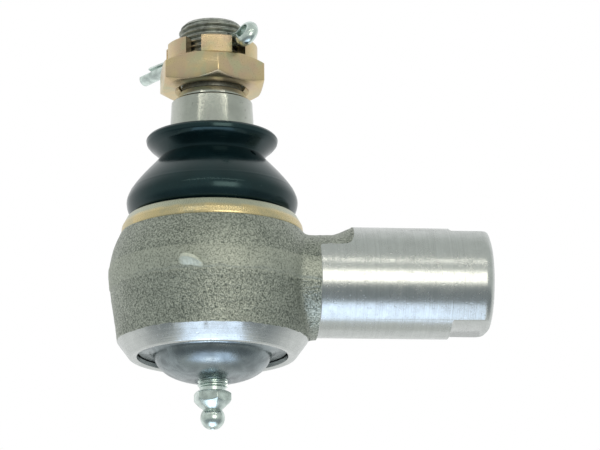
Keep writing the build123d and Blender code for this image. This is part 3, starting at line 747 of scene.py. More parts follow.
def moulded_rubber(finishes):
    """Chloroprene, moulded and wiped with silicone: near black, glossy, blue green."""
    material, tree = new_material("moulded_chloroprene")
    film = grains(tree, 6.0, 3.0)
    base = clouded(tree, film, 0.35, 0.7, 0.6, finishes.rubber, toned(finishes.rubber, 2.2))
    base = clouded(tree, grains(tree, 0.3, 1.0), 0.74, 0.78, 0.35, base, finishes.dust)
    finish(tree, base, (film, 0.12, 0.22), film, 0.1, 0.25, 0.0, **{
        "IOR": 1.5, "Specular Tint": finishes.rubber_gloss,
    })
    return material


def plain_finish(name, colour_value, rough_low, rough_high, grain_mm, metallic):
    """A quiet finish for the pieces that lie inside, with a fine grain of their own."""
    material, tree = new_material(name)
    grain = grains(tree, grain_mm, 3.0)
    base = add_node(tree, {0: grain, 6: colour_value, 7: toned(colour_value, 0.75)}, **MIX)
    finish(tree, base, (grain, rough_low, rough_high), grain, 0.01, 0.5, metallic)
    return material


def finish_colours(context):
    """The colours that the materials start from."""
    group = context.scene.tie_rod_end.finishes
    names = Finishes.__annotations__
    return SimpleNamespace(**{name: list(getattr(group, name)) for name in names})


# ---- Housing ---------------------------------------------------------------------------------
def barrel_blank(s):
    """The barrel as it leaves the dies, with stock where it is machined later."""
    rise = s.shoulder_z - s.widest_z
    run = s.barrel_r - s.shoulder_r
    bend = (rise**2 + run**2) / (2 * run)
    end_deg = math.degrees(math.asin(rise / bend))
    upper = arc((s.barrel_r - bend, s.widest_z), bend, end_deg, 0, 10)
    stock, draft = 6.0, 0.4
    crest_in, belly_in, belly_drop = 2.2, 0.3, 4
    crest = (s.shoulder_r - crest_in, s.shoulder_z + stock)
    outline = [(0, crest[1]), crest] + upper
    outline += [(s.barrel_r - belly_in, s.widest_z - belly_drop), (s.cone_r, s.cone_z),
                (s.cone_r - draft, s.cone_z - stock), (0, s.cone_z - stock)]
    return skin("forged_blank", circles(outline))


def neck_blank(s):
    """The forged bar: half ellipses whose low top rises almost to the turned shank."""
    stock, deepest = 1.4, 0.9
    around = np.linspace(0, 2 * math.pi, 144, endpoint=False)
    across, over = np.cos(around), np.sin(around)
    height = np.where(over > 0, s.neck_top, s.neck_low)
    forged = 1 / np.hypot(across / s.neck_w, over / height)
    loops = []
    for x in np.linspace(0, s.shank_end_x + stock, 150):
        share = np.clip((x - s.rise_x) / (s.full_x - s.rise_x), 0, 1)
        dip = 1 - deepest * share * share * (3 - 2 * share)
        r = s.shank_r + (forged - s.shank_r) * np.where(forged < s.shank_r, dip, 1)
        if x > s.full_x:
            r = np.full_like(r, s.shank_r + stock)
        loops.append(np.stack([np.full_like(r, x), r * across, r * over], 1))
    return skin("forged_neck", loops, closed=False)


def forge_skin(made, s):
    """Dents and the trimmed flash band, pressed into the blank's surface."""
    mesh = made.data
    flash_middle = (s.flash_low_z + s.flash_high_z) / 2
    flash_half = (s.flash_high_z - s.flash_low_z) / 2
    fine_pace, fine_share, band_calm = 2.1, 0.5, 0.6
    wave_size, wave_depth = 7, 0.12
    ragged_size, ragged_depth, edge_w = 3.5, 0.9, 0.4
    places = np.empty(3 * len(mesh.vertices))
    normals = np.empty_like(places)
    mesh.vertices.foreach_get("co", places)
    mesh.vertex_normals.foreach_get("vector", normals)
    places, normals = places.reshape(-1, 3), normals.reshape(-1, 3)
    for i, here in enumerate(places):
        spot = Vector(here) / MM
        dents = noise.noise(spot / s.grain)
        dents += fine_share * noise.noise(spot * fine_pace / s.grain)
        waves = noise.noise(spot / wave_size + UP * 5)
        edge = spot.z + ragged_depth * noise.noise(spot / ragged_size + UP * 9)
        band = min(1, max(0, (flash_half - abs(edge - flash_middle)) / edge_w))
        push = s.skin * dents * (1 - band_calm * band) + wave_depth * waves + s.flash_rise * band
        places[i] += normals[i] * push * MM
    mesh.vertices.foreach_set("co", places.ravel())
    mesh.update()


def gate_stub(s):
    """The torn stub that trimming left on the flash line: a leaning chip with a ragged face."""
    # Its section, as shares of its rise and half its height; the negative rises lie in the barrel.
    section = ((-1.5, 1.0), (0.35, 1.1), (0.95, 0.9), (1.0, 0.25), (0.5, 0.0), (0.15, -0.8),
               (-1.5, -1.3))
    under_widest, torn_depth, torn_pace = 2.1, 0.18, 2.3
    loops = []
    for t in np.linspace(-1, 1, 25):
        a = s.stub + t * s.stub_w / 2 / s.barrel_r
        swell = max(0.0, 1 - abs(t) ** 3) * (1 - 0.25 * t)
        middle = s.widest_z - under_widest - 0.4 * t + 0.35 * math.cos(2.4 * t)
        loop = []
        for r, z in section:
            out = s.barrel_r + (r * s.stub_out * swell if r > 0 else r)
            out += torn_depth * noise.noise(Vector((3 * t, r, z)) * torn_pace) * swell
            up = middle + z * s.stub_h / 2 * (0.35 + 0.65 * swell) - 0.25 * (t + 1)
            loop.append((out * math.cos(a), out * math.sin(a), up))
        loops.append(np.array(loop))
    return skin("gate_stub", loops, closed=False)


def machining(s, turned_face, turned_shank, bore_finish):
    """The volumes that turning, boring, milling and tapping take off the forging."""
    past, roll_h, cap_sheet, chamfer = 4, 1.8, 2.3, 0.6
    spigot_z = s.shoulder_z + s.spigot_h
    wide_r, chamfer_r, clear_r = s.shoulder_r + 1.8, s.mouth_high_r + chamfer, s.cone_r + 0.6
    top = rounded([
        (0, s.collar_top_z + past * 3), (wide_r, s.collar_top_z + past * 3),
        (wide_r, s.shoulder_z, EDGE), (s.spigot_r, s.shoulder_z),
        (s.spigot_r, spigot_z, FINE_EDGE), (s.collar_r, spigot_z, EDGE),
        (s.collar_r, s.collar_top_z, 0.4), (0, s.collar_top_z),
    ])
    crown_r = s.lip_r + s.lip_crown_w
    bottom = rounded([
        (0, s.lip_z - past), (clear_r, s.lip_z - past), (clear_r, s.cone_z + 1.2),
        (s.cone_r, s.cone_z), (s.cone_r - s.lip_shoulder_w, s.cone_z - s.lip_shoulder_drop, 1.6),
        (crown_r, s.lip_z - s.lip_crown, 1.2), (s.lip_r + 0.15, s.lip_z - 0.05, 0.5),
        (s.lip_r - 0.4, s.lip_z + 0.3), (0, s.lip_z + 0.3),
    ])
    flange_z = s.lip_z + roll_h
    cap_top = flange_z + cap_sheet
    cavity = rounded([
        (0, s.collar_top_z + past), (chamfer_r, s.collar_top_z + past),
        (chamfer_r, s.collar_top_z, EDGE), (s.mouth_high_r, s.collar_top_z - chamfer, EDGE),
        (s.mouth_low_r, s.seat_z, FINE_EDGE), (s.bore_r, s.seat_z), (s.bore_r, cap_top),
        (s.cap_r, cap_top), (s.cap_r, flange_z + 0.15), (s.lip_r + 0.9, flange_z + 0.15, FINE_EDGE),
        (s.lip_r, flange_z - 0.5, EDGE), (s.lip_r, s.lip_z - past), (0, s.lip_z - past),
    ])
    end_x = s.shank_end_x
    wide = 2 * s.shank_r
    outside = rounded([
        (s.shank_r, s.turn_x, 0.4), (s.shank_r, end_x - s.shank_round),
        (s.shank_r - 0.1 * s.shank_round, end_x - 0.54 * s.shank_round),
        (s.shank_r - 0.32 * s.shank_round, end_x - 0.26 * s.shank_round),
        (s.shank_r - s.shank_round, end_x),
        (0, end_x), (0, end_x + past), (wide, end_x + past), (wide, s.turn_x),
    ])
    minor_r = s.thread_r - INNER_THREAD * s.pitch
    mouth_r = s.thread_r + s.mouth_chamfer
    drill_point_deg = 118
    tip_x = s.drill_x - s.thread_r / math.tan(math.radians(drill_point_deg / 2))

    def flared(x):
        """The threaded hole's radius under its mouth chamfer."""
        return np.maximum(s.thread_r, mouth_r - (end_x - x))

    rows = thread(s.bore_x, end_x - s.mouth_chamfer, s.pitch, s.thread_r, minor_r, flared)
    hole = [(0, tip_x), (minor_r, s.drill_x), (minor_r, s.bore_x)] + rows
    hole += [(mouth_r, end_x), (mouth_r, end_x + past), (0, end_x + past)]
    tools = [
        coated(skin("turn_top", circles(top)), turned_face),
        coated(skin("turn_bottom", circles(bottom)), turned_face),
        coated(skin("bore_barrel", circles(cavity)), turned_face),
        coated(skin("turn_shank", circles(outside, along_x=True)), turned_shank),
        coated(skin("tap_shank", circles(hole, along_x=True)), bore_finish),
    ]
    for side in (1, -1):
        tools.append(coated(flat_tool(s, side), turned_shank))
    return tools


def flat_tool(s, side):
    """A block that mills one wrench flat."""
    half, start = s.flat_w / 2, s.shank_end_x - s.flat_length
    corner = rounded([(start, half, 0.6), (start, 2 * half), (2 * s.shank_end_x, 2 * half),
                      (2 * s.shank_end_x, half)])
    loops = []
    for y in (-2 * half, 2 * half):
        loops.append(np.array([(x, y, side * z) for x, z in corner]))
    made = skin("mill_flat", loops, closed=False)
    made.data.transform(Matrix.Rotation(-s.flat_roll, 4, "X"))
    return made


class TIEROD_OT_housing(bpy.types.Operator):
    """Forge the housing and machine its faces"""
    bl_idname = "tierod.housing"
    bl_label = "Housing"

    def execute(self, context):
        s = sizes_of(context, "housing")
        finishes = finish_colours(context)
        forging = shot_blasted_forging(finishes, s)
        blank = barrel_blank(s)
        carve(blank, neck_blank(s), "UNION")
        remesh = blank.modifiers.new("remesh", "REMESH")
        remesh.mode = "VOXEL"
        remesh.voxel_size = s.voxel * MM
        smooth = blank.modifiers.new("fillets", "SMOOTH")
        smooth.factor = 0.5
        smooth.iterations = s.blend_steps
        settle(blank)
        forge_skin(blank, s)
        coated(blank, forging)
        carve(blank, coated(gate_stub(s), torn_steel(finishes)), "UNION")
        face, bar = turned_steel(finishes, False), turned_steel(finishes, True)
        for tool in machining(s, face, bar, bar):
            carve(blank, tool)
        if not blank.data.polygons:
            raise RuntimeError("the housing lost its faces while it was machined")
        blank.name = "housing_forging"
        place(blank, "housing", "housing")
        return {"FINISHED"}


# ---- Stud, nut and pin -----------------------------------------------------------------------
class TIEROD_OT_stud(bpy.types.Operator):
    """Turn the ball stud with its thread and cross hole"""
    bl_idname = "tierod.stud"
    bl_label = "Ball Stud"

    def execute(self, context):
        s = sizes_of(context, "stud")
        pin = sizes_of(context, "pin")
        nut = sizes_of(context, "nut")
        finishes = finish_colours(context)
        neck_deg = math.degrees(math.acos(s.neck_r / s.ball_r))
        ball = arc((0, 0), s.ball_r, -90, neck_deg - 4, 60)
        cone_low_r = s.cone_high_r + (s.cone_high_z - s.cone_low_z) / s.taper / 2
        bead_z = s.cone_high_z + s.bead_h
        shaft = rounded([
            ball[-1], (s.neck_r, s.ball_r * math.sin(math.radians(neck_deg)), s.neck_blend),
            (s.neck_r, s.cone_low_z - (cone_low_r - s.neck_r), 1.2), (cone_low_r, s.cone_low_z, 0.8),
            (s.cone_high_r + 0.02, s.cone_high_z - 0.5, 0.15),
            (s.cone_high_r - 0.5, s.cone_high_z, 0.15), (s.bead_r + 0.1, s.cone_high_z),
            (s.bead_r, s.cone_high_z + 0.3, FINE_EDGE), (s.bead_r - 0.1, bead_z, 1.4),
            (s.relief_r - 0.25, bead_z), (s.relief_r - 0.25, s.relief_high_z),
        ], closed=False)
        root_r = s.thread_r - OUTER_THREAD * s.pitch

        def worn(z):
            """The thread's radius under the chamfers at its two ends."""
            run_in = s.relief_r - 0.05 + (z - s.relief_high_z) * 1.2
            return np.minimum(run_in, s.thread_r - s.chamfer + (s.top_z - z))

        rows = thread(s.relief_high_z, s.top_z, s.pitch, s.thread_r, root_r, worn)
        end = rounded([
            (s.thread_r - s.chamfer, s.top_z), (s.centre_r, s.top_z, 0.15),
            (0, s.top_z - s.centre_r * math.sqrt(3)),
        ], closed=False)
        made = skin("ball_stud_turned", circles(ball[:-1] + shaft + rows + end[1:]))
        coated(made, ground_steel(finishes), shaded_thread_steel(finishes))
        for face in made.data.polygons:
            if face.center.z > (bead_z - 0.3) * MM:
                face.material_index = 1
        play = 0.25
        hole_r, reach = pin.wire_r + pin.split / 2 + play, 2 * s.thread_r
        hole = [(0, -reach), (hole_r, -reach), (hole_r, reach), (0, reach)]
        drill = skin("cross_drill", circles(hole))
        coated(drill, made.data.materials[1])
        turn = Matrix.Rotation(pin.direction, 4, "Z") @ Matrix.Rotation(math.pi / 2, 4, "Y")
        drill.data.transform(Matrix.Translation(UP * (nut.high_z - pin.drop) * MM) @ turn)
        carve(made, drill)
        place(made, "stud", "ball_stud")
        return {"FINISHED"}


class TIEROD_OT_nut(bpy.types.Operator):
    """Make the castle nut with its slotted crown"""
    bl_idname = "tierod.nut"
    bl_label = "Castle Nut"

    def execute(self, context):
        s = sizes_of(context, "nut")
        angles = hexagon_angles(s.corner)
        chamfer_in, past = 0.25, 3
        flat_r = s.across_flats / 2 - chamfer_in
        hexagon = hexagon_r(s.across_flats, s.corner, angles, NUT_SHARPNESS)
        bite = (hexagon - flat_r) * math.tan(s.chamfer)
        hex_top_z = s.low_z + s.hex_h
        mouth_r = s.bore_r + s.bore_chamfer
        soft = s.edge / 3
        outline = [
            (s.bore_r, s.low_z + s.bore_chamfer), (mouth_r - soft, s.low_z + soft),
            (mouth_r, s.low_z), (flat_r - 2 * soft, s.low_z), (flat_r, s.low_z + soft / 2),
            (hexagon - soft, s.low_z + bite + soft / 2), (hexagon, s.low_z + bite + 2 * soft),
            (hexagon, hex_top_z - bite - 2 * soft), (hexagon - soft, hex_top_z - bite - soft / 2),
            (flat_r, hex_top_z - soft / 2), (flat_r - 2 * soft, hex_top_z),
        ]
        outline += rounded([
            (s.crown_r, hex_top_z, 0.25), (s.crown_r, s.high_z, s.edge),
            (s.bore_r, s.high_z, FINE_EDGE), (s.bore_r, s.low_z + s.bore_chamfer),
        ])[:-1]
        made = coated(skin("castle_nut_milled", circles(outline, angles)),
                      yellow_zinc(finish_colours(context)))
        for k in range(3):
            slot = rounded([(-s.slot_w / 2, hex_top_z, EDGE), (s.slot_w / 2, hex_top_z, EDGE),
                            (s.slot_w / 2, s.high_z + past), (-s.slot_w / 2, s.high_z + past)])
            reach = 2 * s.crown_r
            tool = skin("slot_mill", [np.array([(x, y, z) for y, z in slot])
                                      for x in (-reach, reach)], closed=False)
            tool.data.transform(Matrix.Rotation(s.corner + math.pi / 6 + math.pi / 3 * k, 4, "Z"))
            carve(made, coated(tool, made.data.materials[0]))
        place(made, "stud", "castle_nut")
        return {"FINISHED"}


class TIEROD_OT_pin(bpy.types.Operator):
    """Bend the split cotter pin from half-round wire"""
    bl_idname = "tierod.pin"
    bl_label = "Cotter Pin"

    def execute(self, context):
        s = sizes_of(context, "pin")
        nut = sizes_of(context, "nut")
        flat = s.split / 2
        eye_x = s.eye_reach - s.eye_r - s.wire_r
        reach = s.eye_r + s.eye_blend
        lift = flat + s.eye_blend
        blend_x = eye_x - math.sqrt(reach**2 - lift**2)
        open_deg = math.degrees(math.atan2(lift, blend_x - eye_x))
        bend_x = -nut.crown_r - 1
        line = [(-s.short_leg, flat + s.spread), (bend_x, flat), (-s.short_leg / 3, flat)]
        line += arc((blend_x, lift), s.eye_blend, -90, open_deg - 180, 8)
        line += arc((eye_x, 0), s.eye_r, open_deg, -open_deg, 40)[1:]
        line += arc((blend_x, -lift), s.eye_blend, 180 - open_deg, 90, 8)[1:]
        line += [(-s.short_leg / 3, -flat), (bend_x, -flat), (-s.long_leg, -flat - s.spread)]
        path = np.array(line)
        step = np.gradient(path, axis=0)
        step /= np.linalg.norm(step, axis=1)[:, None]
        out = np.stack([-step[:, 1], step[:, 0]], 1)
        corner = 0.25
        section = rounded([(0, -s.wire_r, corner)] + arc((0, 0), s.wire_r, -80, 80, 14)
                          + [(0, s.wire_r, corner)])
        loops = []
        cut_share = 0.75
        stations = [(p, n, 1.0) for p, n in zip(path, out)]
        stations[0] = (path[0] + step[0] * corner, out[0], 1.0)
        stations[-1] = (path[-1] - step[-1] * corner, out[-1], 1.0)
        stations = [(path[0], out[0], cut_share)] + stations + [(path[-1], out[-1], cut_share)]
        middle = s.wire_r / 2
        for spot, normal, share in stations:
            ring = []
            for away, over in section:
                flat_spot = spot + normal * (middle + (away - middle) * share)
                ring.append((flat_spot[0], flat_spot[1], over * share))
            loops.append(np.array(ring))
        made = coated(skin("cotter_pin_bent", loops, closed=False),
                      clear_zinc(finish_colours(context)))
        along = Vector((math.cos(s.direction), math.sin(s.direction), 0))
        side = along.cross(UP)
        normal = side * math.cos(s.roll) + UP * math.sin(s.roll)
        turn = Matrix((along, normal.cross(along), normal)).transposed().to_4x4()
        made.data.transform(Matrix.Translation(UP * (nut.high_z - s.drop) * MM) @ turn)
        place(made, "stud", "cotter_pin")
        return {"FINISHED"}


# ---- Cap and nipple --------------------------------------------------------------------------
class TIEROD_OT_cap(bpy.types.Operator):
    """Press the closure cap"""
    bl_idname = "tierod.cap"
    bl_label = "Closure Cap"

    def execute(self, context):
        s = sizes_of(context, "cap")
        flange_z = s.high_z - s.sheet

        def dome(root_r, root_z, height, r):
            """Height of a pressed dome at radius r."""
            return root_z - height * (1 - (r / root_r) ** s.power) ** (1 / s.power)

        height = flange_z - s.low_z
        rim_r = s.hole_r + s.hole_chamfer
        inner_r = s.root_r - s.sheet
        shares = np.linspace(0, 1, 30) ** 2.2
        outer = [(r, dome(s.root_r, flange_z, height, r))
                 for r in s.root_r - (s.root_r - rim_r) * shares]
        inner = [(r, dome(inner_r, s.high_z, height, r))
                 for r in inner_r - (inner_r - s.hole_r) * shares[::-1]]
        root_blend, step_z = 1.1, flange_z - s.step
        outline = rounded([
            (s.flange_r, s.high_z, EDGE), (s.flange_r, flange_z, EDGE), (s.step_r, flange_z),
            (s.step_r, step_z, EDGE), (s.root_r + root_blend, step_z - 0.1, 0.5),
            (s.root_r + 0.1, step_z - 0.6),
        ], closed=False) + [spot for spot in outer if spot[1] < step_z - 0.9]
        outline += [(s.hole_r, s.low_z + s.hole_chamfer)] + inner
        made = coated(skin("closure_cap_pressed", circles(outline)),
                      pressed_sheet(finish_colours(context)))
        place(made, "housing", "closure_cap")
        return {"FINISHED"}


class TIEROD_OT_nipple(bpy.types.Operator):
    """Turn the grease nipple with its thread, hexagon and head"""
    bl_idname = "tierod.nipple"
    bl_label = "Grease Nipple"

    def execute(self, context):
        s = sizes_of(context, "nipple")
        angles = hexagon_angles(s.corner)
        hexagon = hexagon_r(s.across_flats, s.corner, angles, NIPPLE_SHARPNESS)
        chamfer_in, relief_h, seat_h = 0.12, 1.1, 2.0
        chamfer_deg, countersink = 30, 0.15
        flat_r = s.across_flats / 2 - chamfer_in
        root_r = s.thread_r - OUTER_THREAD * s.pitch
        thread_low_z = s.hex_high_z + relief_h

        def worn(z):
            """The thread's radius under the chamfers at its two ends."""
            return np.minimum(s.relief_r + (s.high_z - z), s.relief_r + (z - thread_low_z) * 2)

        rows = thread(thread_low_z, s.high_z, s.pitch, s.thread_r, root_r, worn, angles)[::-1]
        head_z = s.low_z + math.sqrt(s.head_r**2 - s.tip_r**2)
        neck_deg = math.degrees(math.acos(s.neck_r / s.head_r))
        tip_deg = math.degrees(math.acos(s.tip_r / s.head_r))
        neck_z = head_z + s.head_r * math.sin(math.radians(neck_deg))
        slope = (s.cone_z - neck_z) / (s.cone_r - s.neck_r)
        bite = (hexagon - flat_r) * math.tan(math.radians(chamfer_deg))
        cone_top = s.cone_z + (hexagon - s.cone_r) * slope * 0.8
        facet = hexagon / hexagon.min()
        half_r = (s.cone_r + s.neck_r) / 2
        outline = [(s.bore_r, s.high_z)] + rows + [
            (s.relief_r, thread_low_z - 0.2), (s.relief_r, s.hex_high_z + 0.2),
            (s.relief_r + 0.2, s.hex_high_z), (flat_r, s.hex_high_z),
            (hexagon - 0.03, s.hex_high_z - bite), (hexagon, s.hex_high_z - bite - 0.1),
            (hexagon, cone_top + 0.1), (hexagon - 0.05, cone_top),
            (half_r * (0.4 + 0.6 * facet), (s.cone_z + neck_z) / 2 + 0.15),
            (s.neck_r * 1.03, neck_z + 0.3), (s.neck_r, neck_z + 0.1),
        ]
        outline += arc((0, head_z), s.head_r, neck_deg - 4, -tip_deg, 18)
        seat_z = s.low_z + seat_h
        outline += [(s.tip_r - 0.12, s.low_z), (s.orifice_r + countersink, s.low_z),
                    (s.orifice_r, s.low_z + countersink),
                    (s.orifice_r, seat_z - (s.bore_r - s.orifice_r)), (s.bore_r, seat_z)]
        made = coated(skin("grease_nipple_turned", circles(outline, angles)),
                      clear_zinc(finish_colours(context)))
        place(made, "housing", "grease_nipple")
        return {"FINISHED"}


# ---- Boot and ring ---------------------------------------------------------------------------
class TIEROD_OT_boot(bpy.types.Operator):
    """Mould the dust boot with its crease, seam and vent"""
    bl_idname = "tierod.boot"
    bl_label = "Dust Boot"

    def execute(self, context):
        s = sizes_of(context, "boot")
        stud = sizes_of(context, "stud")
        ring = sizes_of(context, "ring")

        def stud_r(z):
            """Radius of the stud's cone."""
            return stud.cone_high_r + (stud.cone_high_z - z) / stud.taper / 2

        face_z = s.high_z - s.face_drop
        lip_depth, seam_over, vent_out, vent_drop = 6.9, 3.2, 1.9, 1.3
        lip_low_z = s.high_z - lip_depth
        neck_z = ring.high_z + s.gap
        ring_in_r = ring.high_r - ring.sheet - s.gap
        seam_z = s.bulge_z + seam_over
        start = stud_r(face_z) + s.gap
        rim = [(start, face_z - 0.3), (start + 0.1, face_z - 0.08), (start + 0.3, face_z)]
        rim += rounded([
            rim[-1], (s.rim_r - 0.6, s.high_z, 0.5), (s.rim_r, s.high_z - 0.8, 0.4),
            (s.rim_r - 0.25, s.high_z - 1.9, 0.8), (s.rim_r - 1.2, s.high_z - 3.0),
        ], closed=False)[1:]
        # A bow's two pulls say which way it leaves and arrives, and how firmly.
        waist = (s.waist_r, s.waist_z)
        flare = bow(rim[-1], (-2.3, -1.7), waist, (-0.3, -1.9), 14)
        shoulder = bow(waist, (4.0, -6.0), (s.bulge_r, s.bulge_z), (0, -12.0), 56)
        # The mould's seam is a hair's breadth proud.
        seam = min(range(len(shoulder)), key=lambda i: abs(shoulder[i][1] - seam_z))
        shoulder[seam] = (shoulder[seam][0] + 0.05, shoulder[seam][1] + 0.02)
        tuck = bow((s.bulge_r, s.bulge_z), (0, -5.6), (ring_in_r, neck_z), (-2.4, -1.2), 14)
        foot = [(ring_in_r, neck_z - 0.4), (ring_in_r + 1.2, s.low_z + 0.3),
                (ring_in_r + 1.0, s.low_z), (s.foot_r + 0.2, s.low_z), (s.foot_r, s.low_z + 0.2),
                (s.foot_r, neck_z)]
        inner_bulge = (s.bulge_r - s.wall, s.bulge_z)
        lip_low = (stud_r(lip_low_z) + s.gap, lip_low_z)
        inside = bow(foot[-1], (0.0, 3.0), inner_bulge, (0, 3.0), 10)[1:]
        inside += bow(inner_bulge, (0, 11.0), lip_low, (-5.0, 2.0), 26)[1:]
        outline = rim + flare[1:] + shoulder[1:] + tuck[1:] + foot + inside
        made = coated(skin("dust_boot_moulded", circles(outline)),
                      moulded_rubber(finish_colours(context)))
        drill = [(0, -3), (s.vent_r, -3), (s.vent_r, 3), (0, 3)]
        vent = skin("vent_drill", circles(drill, np.linspace(0, 2 * math.pi, 24, endpoint=False)))
        turn = Matrix.Rotation(s.vent, 4, "Z") @ Matrix.Rotation(math.pi / 2, 4, "Y")
        vent_spot = Vector((math.cos(s.vent), math.sin(s.vent), 0)) * (s.waist_r + vent_out)
        vent_spot += UP * (s.waist_z - vent_drop)
        vent.data.transform(Matrix.Translation(vent_spot * MM) @ turn)
        carve(made, coated(vent, made.data.materials[0]))
        shade(made)
        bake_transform(made)
        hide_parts("dust_boot")
        return {"FINISHED"}


class TIEROD_OT_ring(bpy.types.Operator):
    """Roll the boot's retaining ring"""
    bl_idname = "tierod.ring"
    bl_label = "Boot Ring"

    def execute(self, context):
        s = sizes_of(context, "ring")
        knee_share, knee_in = 0.44, 0.18
        knee_z = s.low_z + knee_share * (s.high_z - s.low_z)
        knee_r = s.low_r - knee_in
        outline = rounded([
            (s.low_r - s.sheet, s.low_z, 0.2), (s.low_r - 0.05, s.low_z, 0.35),
            (s.low_r, s.low_z + 0.7, 0.5), (knee_r, knee_z, 1.0), (s.high_r, s.high_z, 0.55),
            (s.high_r - s.sheet, s.high_z, 0.4), (knee_r - s.sheet, knee_z, 1.0),
        ])
        made = coated(skin("boot_ring_rolled", circles(outline)),
                      zinc_strip(finish_colours(context), knee_z))
        place(made, "housing", "boot_retaining_ring")
        return {"FINISHED"}


class TIEROD_OT_inside(bpy.types.Operator):
    """Give the pieces that lie inside their finishes"""
    bl_idname = "tierod.inside"
    bl_label = "Inner Pieces"

    def execute(self, context):
        finishes = finish_colours(context)
        # Acetal, injection moulded: milky and half glossy. Spring steel, oil tempered: dark.
        # Nitrile, moulded: black and dull. Bearing steel, lapped: close to a mirror.
        acetal = plain_finish("moulded_acetal", finishes.acetal, 0.3, 0.45, 0.6, 0.0)
        spring = plain_finish("oil_tempered_wire", finishes.spring, 0.3, 0.5, 0.4, 1.0)
        seal = plain_finish("moulded_nitrile", finishes.seal, 0.45, 0.6, 0.5, 0.0)
        plated = clear_zinc(finishes)
        ball = plain_finish("lapped_bearing_steel", finishes.turned, 0.12, 0.2, 0.3, 1.0)
        given = {
            "upper_ball_seat": acetal, "pressure_cup": acetal, "preload_spring": spring,
            "nipple_valve_spring": spring, "cap_seal": seal, "nipple_check_ball": ball,
            "nipple_spring_keeper": plated, "boot_foot_wire": spring, "boot_lip_band": plated,
        }
        for node, material in given.items():
            coated(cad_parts[node], material)
        return {"FINISHED"}


# ---- Stage -----------------------------------------------------------------------------------
def softbox(name, direction, distance, width, height, strength, tint):
    """A soft rectangular light that shines on the ball from a direction, unseen by the camera."""
    data = bpy.data.lights.new(name, "AREA")
    data.shape = "RECTANGLE"
    data.size, data.size_y = width, height
    data.energy = strength * width * height * math.pi
    data.color = tint[:3]
    made = bpy.data.objects.new(name, data)
    bpy.context.scene.collection.objects.link(made)
    towards = Vector(direction).normalized()
    made.location = towards * distance
    made.rotation_euler = towards.to_track_quat("Z", "Y").to_euler()
    made.visible_camera = False


def from_camera(azimuth_deg, elevation_deg, camera_azimuth):
    """A direction, right of the camera and over the horizon."""
    a, e = camera_azimuth + math.radians(azimuth_deg), math.radians(elevation_deg)
    return Vector((math.sin(a) * math.cos(e), -math.cos(a) * math.cos(e), math.sin(e)))


def studio_world(scene):
    """Pale surroundings: grey overhead, white behind, dim low in front, white to the camera."""
    world = bpy.data.worlds.new("studio")
    world.use_nodes = True
    tree = world.node_tree
    tree.nodes.clear()
    spot = add_node(tree, (), "ShaderNodeTexCoord", "Generated")
    _, y, z = add_node(tree, (spot,), "ShaderNodeSeparateXYZ").node.outputs
    behind = add_node(tree, (y, -0.1, 0.5, 0, 1), **RANGE)
    low = add_node(tree, (z, -0.12, -0.34, 0, 1), **RANGE)
    seen = add_node(tree, (), "ShaderNodeLightPath", "Is Camera Ray")
    tone = linear("#CED2CF")
    for share, next_tone in ((low, "#8D9497"), (behind, "#F4F5F5"), (seen, "#FFFFFF")):
        tone = add_node(tree, {0: share, 6: tone, 7: linear(next_tone)}, **MIX)
    sky = add_node(tree, {"Color": tone, "Strength": 1.0}, "ShaderNodeBackground")
    add_node(tree, {"Surface": sky}, "ShaderNodeOutputWorld")
    scene.world = world


def matt_floor(colour_value):
    """Matt paint, rolled: pale, with a faint fleck."""
    material, tree = new_material("pale_floor")
    base = add_node(tree, {0: grains(tree, 3.0, 2.0), 6: list(colour_value),
                                7: toned(colour_value, 0.97)}, **MIX)
    shader = add_node(tree, {"Base Color": base, "Roughness": 0.8}, "ShaderNodeBsdfPrincipled")
    add_node(tree, {"Surface": shader}, "ShaderNodeOutputMaterial")
    return material


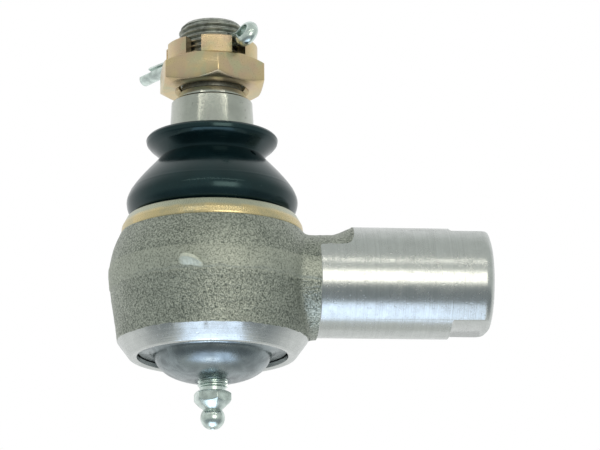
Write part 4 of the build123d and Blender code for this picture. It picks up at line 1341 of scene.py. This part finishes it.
class TIEROD_OT_stage(bpy.types.Operator):
    """Set up the floor, the lights and the camera"""
    bl_idname = "tierod.stage"
    bl_label = "Stage"

    def execute(self, context):
        s = context.scene.tie_rod_end.stage
        scene = context.scene
        scene.view_settings.view_transform = "Standard"
        studio_world(scene)
        warm, cool, plain = linear("#FFF8EC"), linear("#C6DCFF"), linear("#FFFFFF")
        # Degrees right of the camera and up, then distance, width and height in metres.
        for name, azimuth, elevation, distance, width, height, strength, tint in (
            ("key_softbox", 20, 1, 0.9, 0.50, 0.34, 2.7, warm),
            ("strip_light", 4, 36, 0.9, 1.30, 0.025, 6.0, warm),
            ("low_softbox", 4, -76, 0.6, 0.60, 0.44, 1.6, cool),
            ("low_spot", -24, -84, 0.6, 0.10, 0.12, 6.0, plain),
        ):
            direction = from_camera(azimuth, elevation, s.azimuth)
            softbox(name, direction, distance, width, height, strength, tint)
        floor = skin("floor", circles([(0, 0), (s.floor_r / MM, 0), (s.floor_r / MM, -2), (0, -2)]))
        floor.location = UP * s.floor_z
        coated(floor, matt_floor(s.floor))
        ahead = -from_camera(0, -math.degrees(s.elevation), s.azimuth)
        right = ahead.cross(UP).normalized()
        over = right.cross(ahead)
        data = bpy.data.cameras.new("camera")
        data.lens = s.lens
        data.clip_start = 0.05
        camera = bpy.data.objects.new("camera", data)
        scene.collection.objects.link(camera)
        rolled_right = right * math.cos(s.roll) - over * math.sin(s.roll)
        rolled_over = right * math.sin(s.roll) + over * math.cos(s.roll)
        turn = Matrix((rolled_right, rolled_over, -ahead)).transposed().to_4x4()
        spot = right * s.aim_right + over * s.aim_up - ahead * s.distance
        camera.matrix_world = Matrix.Translation(spot) @ turn
        scene.camera = camera
        return {"FINISHED"}


OPERATORS = (
    TIEROD_OT_stage, TIEROD_OT_housing, TIEROD_OT_stud, TIEROD_OT_nut, TIEROD_OT_pin,
    TIEROD_OT_cap, TIEROD_OT_nipple, TIEROD_OT_boot, TIEROD_OT_ring, TIEROD_OT_inside,
)


class TIEROD_PT_panel(bpy.types.Panel):
    """Buttons that build the tie rod end's pieces"""
    bl_label = "Tie Rod End"
    bl_idname = "TIEROD_PT_panel"
    bl_space_type = "VIEW_3D"
    bl_region_type = "UI"
    bl_category = "Tie Rod End"

    def draw(self, context):
        for operator in OPERATORS:
            self.layout.operator(operator.bl_idname)


CLASSES = (
    StudSizes, NutSizes, PinSizes, HousingSizes, CapSizes, NippleSizes, BootSizes, RingSizes,
    Finishes, StageSizes, TieRodEnd, *OPERATORS, TIEROD_PT_panel,
)


def register():
    """Registers the properties, the operators and the panel."""
    for kind in CLASSES:
        bpy.utils.register_class(kind)
    bpy.types.Scene.tie_rod_end = PointerProperty(type=TieRodEnd)


def unregister():
    """Removes them again."""
    del bpy.types.Scene.tie_rod_end
    for kind in reversed(CLASSES):
        bpy.utils.unregister_class(kind)


def main():
    """Builds every piece."""
    register()
    for operator in OPERATORS:
        group, name = operator.bl_idname.split(".")
        getattr(getattr(bpy.ops, group), name)()


if __name__ == "__main__":
    main()
